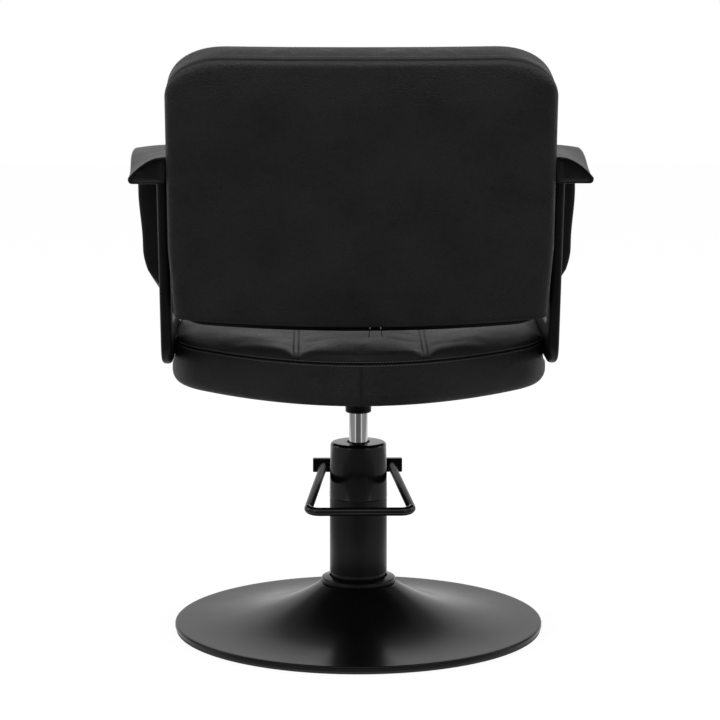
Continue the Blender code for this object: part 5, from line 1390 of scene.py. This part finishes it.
class MakeStage(bpy.types.Operator):
    """Pale floor, soft light and the camera behind the chair"""
    bl_idname = "salon_chair.stage"
    bl_label = "Stage"

    def execute(self, context):
        """Builds floor, grey cards, light and camera."""
        scene = context.scene
        scene.view_settings.view_transform = "Standard"
        self.light_world(scene)
        wide, under = 9, -0.0004
        corners = [(-wide, -wide, under), (wide, -wide, under), (wide, wide, under), (-wide, wide, under)]
        floor = new_object("floor", corners, [(0, 1, 2, 3)], self.floor_finish())
        self.make_cards()
        self.make_lamps()
        self.make_camera(scene)
        return {"FINISHED"}

    def seen(self, tree):
        """1 where the camera, a reflection or glass looks, and 0 where light is gathered."""
        path = add(tree, "LightPath").outputs
        return maths(tree, "MAXIMUM", maths(tree, "MAXIMUM", path["Is Camera Ray"], path["Is Glossy Ray"]),
                     path["Is Transmission Ray"])

    def light_world(self, scene):
        """White where it is seen, and dimmer where it gives light."""
        world = bpy.data.worlds.new("studio")
        scene.world = world
        world.use_nodes = True
        tree = world.node_tree
        back = tree.nodes["Background"]
        fill = chosen().stage.fill
        tree.links.new(spanned(tree, self.seen(tree), 0.0, 1.0, fill, 1.0), back.inputs["Strength"])
        back.inputs["Color"].default_value = (1.0, 1.0, 1.0, 1.0)

    def floor_finish(self):
        """A floor that is seen nearly white and keeps a soft shadow."""
        finish = bpy.data.materials.new("pale_floor")
        finish.use_nodes = True
        tree = finish.node_tree
        shader = tree.nodes["Principled BSDF"]
        shader.inputs["Base Color"].default_value = (*chosen().stage.floor, 1.0)
        shader.inputs["Roughness"].default_value = 0.9
        shader.inputs["Specular IOR Level"].default_value = 0.0
        glow = add(tree, "Emission", Color=(1.0, 1.0, 1.0, 1.0), Strength=1.10)
        mixed = add(tree, "MixShader")
        tree.links.new(maths(tree, "MULTIPLY", self.seen(tree), 0.82), mixed.inputs[0])
        tree.links.new(shader.outputs[0], mixed.inputs[1])
        tree.links.new(glow.outputs[0], mixed.inputs[2])
        tree.links.new(mixed.outputs[0], tree.nodes["Material Output"].inputs["Surface"])
        return finish

    def make_cards(self):
        """Grey cards round the stage, which only reflections meet: dim on the camera's side."""
        stage = chosen().stage
        near, side, far, high = stage.near_card, stage.side_card, stage.far_card, stage.high_card
        wide, low, mid, tall, near_y, side_top = 4.5, 0.35, 2.6, 7.0, 5.2, 3.2

        def wall(half, y, foot, top):
            return [(-half, y, foot), (half, y, foot), (half, y, top), (-half, y, top)]

        cards = [("ground_card", near, [(-1.2, 0.45, 0.002), (1.2, 0.45, 0.002), (2.4, near_y, 0.002),
                                        (-2.4, near_y, 0.002)]),
                 ("near_card", near, wall(3.0, near_y, 0.0, side_top)),
                 ("far_card", far, wall(wide, -wide, low, mid)),
                 ("high_card", high, wall(wide, -wide, mid, tall))]
        for name, x in (("left", wide), ("right", -wide)):
            cards.append((f"{name}_card", side, [(x, -wide, low), (x, wide, low), (x, wide, side_top),
                                                 (x, -wide, side_top)]))
            cards.append((f"{name}_ground_card", side, [(0.1 * x, -1.2, 0.001), (x, -1.2, 0.001),
                                                        (x, wide, 0.001), (0.1 * x, wide, 0.001)]))
        for name, grey, corners in cards:
            card = bpy.data.materials.new(name)
            card.use_nodes = True
            tree = card.node_tree
            glow = add(tree, "Emission", Color=(1.0, 1.0, 1.0, 1.0), Strength=grey)
            tree.links.new(glow.outputs[0], tree.nodes["Material Output"].inputs["Surface"])
            made = new_object(name, corners, [(0, 1, 2, 3)], card)
            made.visible_camera = False
            made.visible_diffuse = False
            made.visible_shadow = False

    def make_lamps(self):
        """A broad light overhead and one at each side."""
        stage = chosen().stage
        lamps = (("top_light", (0.0, 0.1, 3.1), (0.0, 0.1, 0.4), 2.6, 2.6, stage.top_power),
                 ("left_light", (2.8, -0.6, 1.7), (0.0, 0.0, 0.5), 1.0, 2.0, stage.side_power),
                 ("right_light", (-2.8, -0.6, 1.7), (0.0, 0.0, 0.5), 1.0, 2.0, stage.side_power))
        for name, place, target, wide, tall, power in lamps:
            lamp = bpy.data.lights.new(name, "AREA")
            lamp.shape = "RECTANGLE"
            lamp.size = wide
            lamp.size_y = tall
            lamp.energy = power
            made = bpy.data.objects.new(name, lamp)
            made.location = place
            made.rotation_euler = (Vector(target) - Vector(place)).to_track_quat("-Z", "Y").to_euler()
            bpy.context.scene.collection.objects.link(made)

    def make_camera(self, scene):
        """The camera where the photograph was taken."""
        stage = chosen().stage
        lens = bpy.data.cameras.new("camera")
        lens.lens = stage.lens
        lens.sensor_width = 36.0
        made = bpy.data.objects.new("camera", lens)
        made.location = (stage.distance * sin(stage.turn) - stage.aside, stage.distance * cos(stage.turn),
                         stage.height)
        made.rotation_euler = (pi / 2 - stage.pitch, 0.0, pi - stage.turn)
        scene.collection.objects.link(made)
        scene.camera = made


# Panel and start


class ChairPanel(bpy.types.Panel):
    """Lists the steps that build the chair"""
    bl_idname = "VIEW3D_PT_salon_chair"
    bl_label = "Hairdressing chair"
    bl_space_type = "VIEW_3D"
    bl_region_type = "UI"
    bl_category = "Chair"

    def draw(self, context):
        """One button for each step."""
        for step in STEPS:
            self.layout.operator(step.bl_idname)


STEPS = (MakeStage, MakeBase, MakeColumn, MakeLift, MakePedal, MakeSeat, MakeBack, MakeArms)
CLASSES = (ChairColours, ChairSewing, ChairShape, ChairStage, ChairSettings, *STEPS, ChairPanel)


def register():
    """Adds the classes and the settings."""
    for kind in CLASSES:
        bpy.utils.register_class(kind)
    bpy.types.Scene.salon_chair = PointerProperty(type=ChairSettings)


def unregister():
    """Takes the settings and the classes away."""
    del bpy.types.Scene.salon_chair
    for kind in reversed(CLASSES):
        bpy.utils.unregister_class(kind)


def main():
    """Builds the whole chair."""
    register()
    bpy.ops.salon_chair.stage()
    bpy.ops.salon_chair.base()
    bpy.ops.salon_chair.column()
    bpy.ops.salon_chair.lift()
    bpy.ops.salon_chair.pedal()
    bpy.ops.salon_chair.seat()
    bpy.ops.salon_chair.back()
    bpy.ops.salon_chair.arms()


if __name__ == "__main__":
    main()
